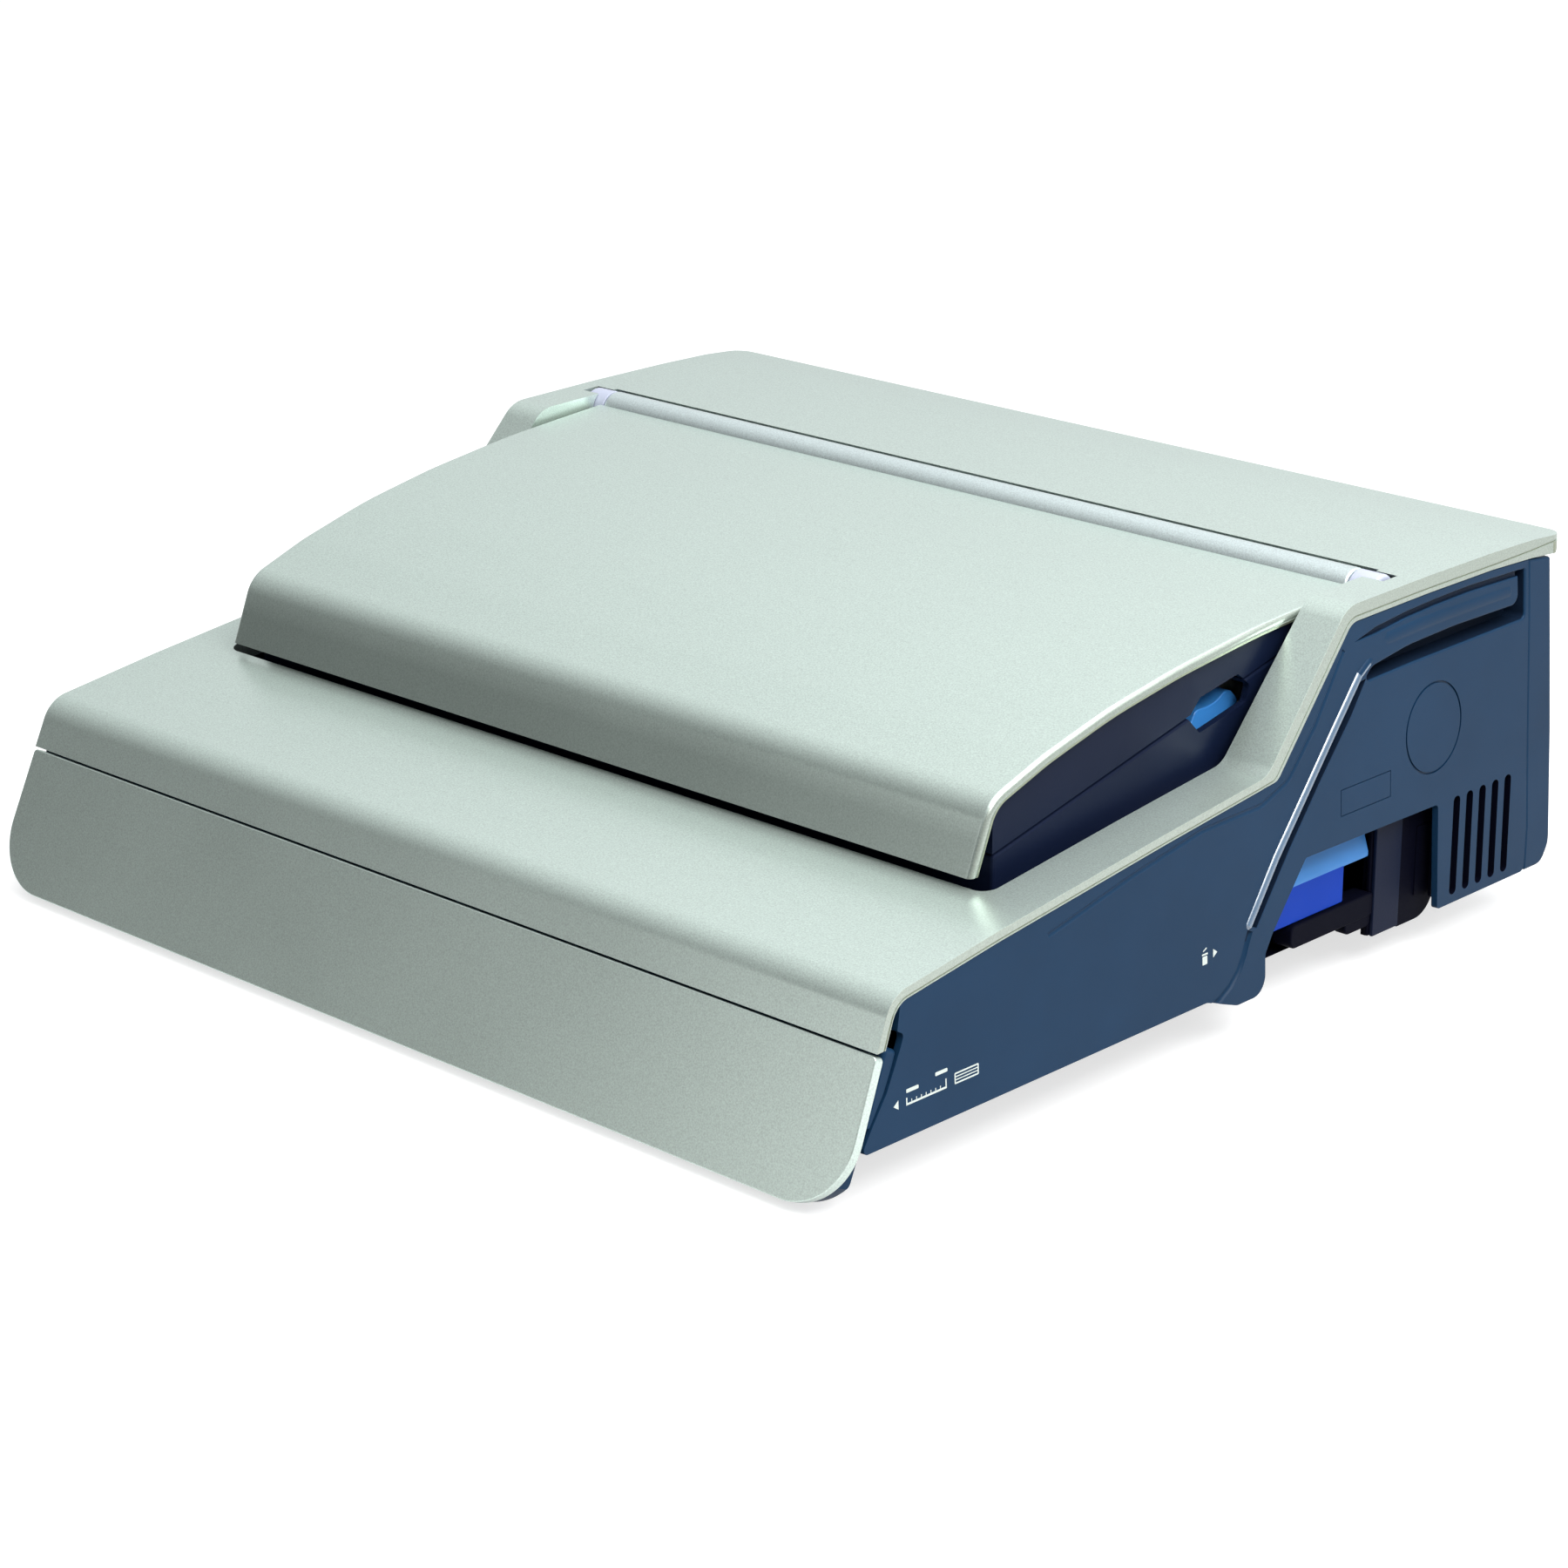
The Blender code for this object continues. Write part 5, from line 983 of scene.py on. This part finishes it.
def make_side_panel(side):
    """A panel with its rib, grip, vents and creases. Only the right one has the two moulded marks."""
    tag = "right" if side > 0 else "left"
    outer = panel_face()

    def layer(name, outlines, out, back):
        low, high = sorted((side * (outer - back), side * (outer - out)))
        return slab(name + "_" + tag, outlines, "x", low, high)

    def pocket(name, outline, depth, lip):
        return flared(name + "_" + tag, outline, side, outer, depth, lip)

    def bar(name, line, radius, rise):
        """A round bar set into the side, standing out by its rise and sinking in at both ends."""
        sunk = radius + BAR_END_SINK
        depths = [sunk, *[radius - rise] * (len(line) - 2), sunk]
        points = [(side * (outer - depth), y, z) for (y, z), depth in zip(line, depths)]
        return sweep(name + "_" + tag, points, radius, 8)

    def line_cut(name, line, radius, rise):
        return sweep(name + "_" + tag, [(side * (outer + rise), y, z) for y, z in line], radius)

    panel = layer("side_skin", [panel_outline(side)], 0.0, WALL)
    round_edges(panel, PANEL_ROUND, 5)
    joined = [
        layer("grip_backing", [offset_closed(grip_outline(), 1.8)], WALL - 0.6, 13.0),
        layer("groove_backing", [offset_closed(groove_outline(), 2.0)], WALL - 0.6, 6.0),
    ]
    join(panel, *joined)
    bars = [
        bar("side_rib", RIB_LINE, RIB_RADIUS, RIB_RISE),
        bar("grip_bar", HANDLE_LINE, HANDLE_RADIUS, HANDLE_RISE),
    ]
    crease = rounded(CREASE_LINE, closed=False, step=8)
    cutters = [
        pocket("grip_pocket", grip_outline(), GRIP_DEPTH, 0.9),
        pocket("groove_pocket", groove_outline(), GROOVE_DEPTH, 0.4),
        pocket("channel_pocket", channel_outline(), CHANNEL_DEPTH, 0.8),
        layer("vent_slots", vent_outlines(), -5.0, 20.0),
        line_cut("crease", crease, CREASE_RADIUS, CREASE_RISE),
        line_cut("foot_crease", FOOT_CREASE, FOOT_CREASE_RADIUS, FOOT_CREASE_RISE),
    ]
    cut(panel, *cutters)
    join(panel, *bars)
    if side > 0:
        ring = [circle(CIRCLE_RADIUS + half, CIRCLE_PLACE) for half in (CIRCLE_LINE, -CIRCLE_LINE)]
        square = [rectangle(72.1, 106.2, 77.6, 89.0), rectangle(72.5, 105.8, 78.0, 88.6)]
        marks = [layer("round_mark", ring, -1.0, 0.7), layer("square_mark", square, -1.0, 0.4)]
        cut(panel, *marks)
        cutters += marks
    bake(panel, *bars, *joined, *cutters)
    place(panel, "slate", "casing", "slate", "side_panel_" + tag)
    tint_panel(panel, outer)
    panel.data.transform(side_tilt(side))


def within(y, z, zone):
    """Whether a place lies in a zone (low y, high y, low z, high z)."""
    return zone[0] < y < zone[1] and zone[2] < z < zone[3]


def near_groove(y, z):
    """Whether a place lies at the rib or the groove behind it."""
    return GROOVE_LOW < z < GROOVE_HIGH and abs(y - depth_on(GROOVE_FRONT, z)) < GROOVE_REACH


def tint_panel(panel, outer):
    """Paints shade and highlight: painted shade on the hand grip and the groove, a paler painted highlight
    with more gloss on the rib, and black vent walls that are painted shade.
    """
    add_looks(panel, "recess", "slate_rib", "black")
    for face in panel.data.polygons:
        x, y, z = face.center / MM
        deep = outer - abs(x)
        if within(y, z, GRIP_ZONE) and deep > 1.0:
            face.material_index = 1
        elif near_groove(y, z) and 0.25 < deep < 4.6:
            face.material_index = 1
        elif near_groove(y, z) and deep < -0.05:
            face.material_index = 2
        elif within(y, z, VENT_ZONE) and 0.05 < deep < WALL - 0.05:
            face.material_index = 3


def side_tilt(side):
    """Tips a flat side to the lean of the casing's sides."""
    pivot = Vector((side * panel_face(), 0, SEAM_Z)) * MM
    tilt = Matrix.Rotation(-side * math.atan(SIDE_LEAN), 4, "Y")
    return Matrix.Translation(pivot) @ tilt @ Matrix.Translation(-pivot)


def make_icons():
    """The printed signs of the right side: an arrow, a rule and sheets, then a bin and an arrow."""
    ticks = [-187.4 + 2.6 * index for index in range(7)]
    signs = [
        [(-197.2, 37.7), (-194.6, 36.0), (-194.6, 39.6)],
        [(-190.4, 36.2), (-168.4, 36.2), (-168.4, 40.0), (-169.0, 40.0), (-169.0, 37.0), (-189.8, 37.0),
         (-189.8, 39.2), (-190.4, 39.2)],
        rectangle(-190.2, -183.6, 41.0, 42.4, 0.4),
        rectangle(-174.4, -167.8, 42.6, 44.0, 0.4),
        *[rectangle(tick - 0.2, tick + 0.2, 37.0, 38.1) for tick in ticks],
        rectangle(-17.9, -14.9, 40.2, 43.6, 0.3),
        rectangle(-18.2, -14.6, 44.1, 44.8, 0.2),
        [(-17.4, 45.6), (-15.2, 46.6), (-15.4, 47.1), (-17.6, 46.1)],
        [(-8.6, 43.4), (-11.2, 41.6), (-11.2, 45.2)],
    ]
    gaps = [rectangle(-163.4, -151.2, low, low + 0.8) for low in (36.8, 38.0, 39.2)]
    sheets = [rectangle(-164.0, -150.6, 36.2, 40.6, 0.5), *gaps]
    outer = panel_face()
    for index, group in enumerate([signs, sheets]):
        sign = slab(f"side_signs_{index}", group, "x", outer - 0.2, outer + 0.06)
        sign.data.transform(side_tilt(1))
        bake(sign)
        place(sign, "ink", "casing")


# The waste bay

def make_bin():
    """The blue bin and its finger lip, whose paler blue is painted light on its lit top."""
    front, rear, wall = 31.8, 90.0, BIN_WALL
    tub_shape = [(front, BIN_BOTTOM), (rear, BIN_BOTTOM), (rear, BIN_TOP), (39.6, BIN_TOP), (front, 39.6)]
    inside = [(front + wall, BIN_BOTTOM + wall), (rear - wall, BIN_BOTTOM + wall), (rear - wall, 70.0),
              (40.4 + wall, 70.0), (40.4 + wall, BIN_TOP), (front + wall, 38.9)]
    tub = slab("bin_tub", [tub_shape], "x", BIN_LEFT, BIN_FACE)
    round_edges(tub, 0.6, 3)
    hollow = slab("bin_hollow", [inside], "x", BIN_LEFT + wall, BIN_FACE - 12)
    cut(tub, hollow)
    back = BIN_FACE - 6
    lip_shape = [(BIN_FACE, 49.0), (BIN_FACE, 51.5), (BIN_FACE - 3.0, LIP_TOP), (back, LIP_TOP),
                 (back, 49.0)]
    lip = slab("bin_lip", [lip_shape], "y", 38.5, 106.8)
    round_edges(lip, 0.7, 3, angle=30)
    slant_shape = [(20, BIN_TOP), (39.4, BIN_TOP), (48.3, 62.0), (48.3, 70), (20, 70)]
    slant = slab("bin_slant", [slant_shape], "x", 200, 250)
    cut(lip, slant)
    bake(lip, slant)
    bake(tub, hollow)
    # The lip's paler blue is painted light.
    place(lip, "lip", "waste_drawer", "blue")
    place(tub, "blue", "waste_drawer", "blue", "waste_bin")


def make_bay_liner():
    """The black lining behind the bin, with its sill, and the round-footed column that closes the bay: a
    charcoal front and, behind it, a black plate that is painted shadow.
    """
    section = [(186.0, BAY_FLOOR), (188.4, BAY_FLOOR), (188.4, 20.5), (231.6, 20.5), (231.6, 12.6),
               (234.0, 12.6), (234.0, 67.0), (231.6, 67.0), (231.6, 22.9), (186.0, 22.9)]
    liner = slab("bay_liner", [section], "y", 110, 145)
    sill = slab("bay_sill", [rectangle(53.5, 110.6, 23.0, BIN_BOTTOM - 0.5, 3.4)], "x", 228.0, 237.5)
    step = slab("bay_step", [rectangle(91.0, 108.5, 18.4, 31.0, 3.0)], "x", 231.0, 237.2)
    wall = slab("bay_wall", [rectangle(108.2, 129.0, 13.3, 62.0)], "x", 234.2, 236.4)
    for piece in (sill, step, wall):
        round_edges(piece, 0.8, 3)
    join(liner, sill, step, wall)
    bake(liner, sill, step, wall)
    place(liner, "black", "casing", "black", "waste_bay_liner")
    column = slab("bay_column", [rectangle(109.0, 127.0, 13.3, 62.0)], "x", 236.5, 238.2)
    round_edges(column, 0.6, 3)
    bake(column)
    place(column, "charcoal", "casing", "charcoal")
    # A black plate with a round foot behind the column: painted shadow in the bay's far end.
    foot = [(126.5, 62.0), (126.5, 12.6, 1), (153.0, 12.6, 19), (153.0, 62.0)]
    backing = slab("bay_column_painted_shadow", [rounded(foot, step=6)], "x", 236.5, 237.4)
    bake(backing)
    place(backing, "black", "casing", "black")


def make_channel():
    """The guide under the bin, its walls cut away at the bay so that the table shows below it."""
    low, floor, rail = BAY_FLOOR, BIN_BOTTOM - 0.6, BIN_BOTTOM + 7.4
    section = [(27.5, low), (30.5, low), (30.5, floor - 2.8), (92.5, floor - 2.8), (92.5, low), (95.5, low),
               (95.5, rail), (93.2, rail), (93.2, floor), (29.6, floor), (29.6, rail), (27.5, rail)]
    channel = slab("waste_channel_skin", [section], "x", -158, 203)
    clearance = block("channel_clearance", (160, 20, 0), (210, 100, floor - 2.8))
    cut(channel, clearance)
    bake(channel, clearance)
    place(channel, "black", "casing", "black", "waste_channel")


def make_vent_shade_plates():
    """A black plate behind the vents of each side, which stands in for the shade inside them: painted
    shade.
    """
    for side, tag in SIDES:
        low, high = sorted((side * 239.0, side * 240.4))
        start = 146.5 if side > 0 else 130.0
        shade_plate = slab("vent_shade_plate_" + tag, [rectangle(start, 202.6, 20.8, 72.0, 2.0)], "x", low, high)
        bake(shade_plate)
        place(shade_plate, "black", "casing", "black")


# The stage

def math_node(nodes, links, operation, first, second):
    """A Math node on a socket and on a second socket or a number."""
    node = nodes.new("ShaderNodeMath")
    node.operation = operation
    links.new(first, node.inputs[0])
    if isinstance(second, float):
        node.inputs[1].default_value = second
    else:
        links.new(second, node.inputs[1])
    return node


def make_stage():
    """A pale floor that shows white to the camera and in mirrors, and keeps the object's shadow."""
    mesh = bpy.data.meshes.new("studio_floor")
    edit = bmesh.new()
    bmesh.ops.create_grid(edit, x_segments=2, y_segments=2, size=FLOOR_HALF)
    edit.to_mesh(mesh)
    edit.free()
    floor = add_object("studio_floor", mesh)
    floor.location.z = FLOOR_Z
    material, shader, nodes, links = new_material("floor_paper")
    grey = (FLOOR_GREY, FLOOR_GREY, FLOOR_GREY, 1)
    set_inputs(shader, {"Base Color": grey, "Roughness": 0.9, "Specular IOR Level": 0.0})
    glow = nodes.new("ShaderNodeEmission")
    rays = nodes.new("ShaderNodeLightPath")
    total = nodes.new("ShaderNodeAddShader")
    mirrored = math_node(nodes, links, "MULTIPLY", rays.outputs["Is Glossy Ray"], FLOOR_IN_MIRRORS)
    seen = math_node(nodes, links, "MAXIMUM", rays.outputs["Is Camera Ray"], mirrored.outputs["Value"])
    lift = math_node(nodes, links, "MULTIPLY", seen.outputs["Value"], FLOOR_GLOW)
    links.new(lift.outputs["Value"], glow.inputs["Strength"])
    links.new(shader.outputs["BSDF"], total.inputs[0])
    links.new(glow.outputs["Emission"], total.inputs[1])
    links.new(total.outputs["Shader"], nodes["Material Output"].inputs["Surface"])
    mesh.materials.append(material)


def studio_level(nodes, links):
    """The studio's walls and ceiling: bright behind and above the object, dim in front of it."""
    place_at = nodes.new("ShaderNodeTexCoord")
    slope = nodes.new("ShaderNodeVectorMath")
    slope.operation = "DOT_PRODUCT"
    slope.inputs[1].default_value = ROOM_SLOPE
    links.new(place_at.outputs["Generated"], slope.inputs[0])
    level = math_node(nodes, links, "ADD", slope.outputs["Value"], ROOM_LEVEL)
    level.use_clamp = True
    return level.outputs["Value"]


def make_world():
    """Soft light from the whole room, and plain white for the camera."""
    world = bpy.data.worlds.new("studio")
    bpy.context.scene.world = world
    world.use_nodes = True
    nodes, links = world.node_tree.nodes, world.node_tree.links
    nodes.clear()
    output = nodes.new("ShaderNodeOutputWorld")
    rays = nodes.new("ShaderNodeLightPath")
    soft = nodes.new("ShaderNodeBackground")
    soft.inputs["Color"].default_value = ROOM_COLOUR
    links.new(studio_level(nodes, links), soft.inputs["Strength"])
    white = nodes.new("ShaderNodeBackground")
    set_inputs(white, {"Color": (1, 1, 1, 1), "Strength": 1.0})
    mix = nodes.new("ShaderNodeMixShader")
    direct, passed = rays.outputs["Is Camera Ray"], rays.outputs["Is Transmission Ray"]
    links.new(math_node(nodes, links, "MAXIMUM", direct, passed).outputs["Value"], mix.inputs["Fac"])
    links.new(soft.outputs["Background"], mix.inputs[1])
    links.new(white.outputs["Background"], mix.inputs[2])
    links.new(mix.outputs["Shader"], output.inputs["Surface"])


def add_light(name, place_at, aim, size, power):
    """A rectangular white lamp, in metres and watts, turned to what it lights."""
    light = bpy.data.lights.new(name, "AREA")
    light.shape = "RECTANGLE"
    light.size, light.size_y = size
    light.energy = power
    lamp = add_object(name, light)
    lamp.location = place_at
    lamp.rotation_euler = (Vector(aim) - Vector(place_at)).to_track_quat("-Z", "Y").to_euler()


def make_camera():
    """The photograph's viewing angle."""
    data = bpy.data.cameras.new("camera")
    data.sensor_width = 36.0
    data.sensor_fit = "HORIZONTAL"
    data.lens = CAMERA_LENS
    data.clip_start = 0.01
    camera = add_object("camera", data)
    camera.location = Vector(CAMERA_PLACE) * MM
    camera.rotation_euler = (math.radians(90 - CAMERA_DOWN), 0, math.radians(CAMERA_TURN))
    bpy.context.scene.camera = camera


bpy.context.scene.view_settings.view_transform = "Standard"
make_camera()
make_stage()
make_world()
add_light("overhead", (0.6, 0.0, 1.7), aim=(0.1, 0, 0.1), size=(2.6, 2.2), power=37)
add_light("near_key", (0.78, -0.12, 0.9), aim=(0.25, -0.1, 0.1), size=(0.6, 0.6), power=7)
add_light("front_fill", (-0.75, -2.0, 0.5), aim=(0.2, 0, 0.08), size=(0.8, 0.5), power=2.2)
add_light("right_key", (1.42, -0.43, 1.05), aim=(0.24, 0.05, 0.09), size=(0.5, 0.4), power=4.5)

dress_cad_nodes()
make_top_cover()
make_lid_shell()
make_hinge()
make_front_panel()
make_side_panel(-1)
make_side_panel(1)
make_icons()
make_bin()
make_bay_liner()
make_channel()
make_vent_shade_plates()
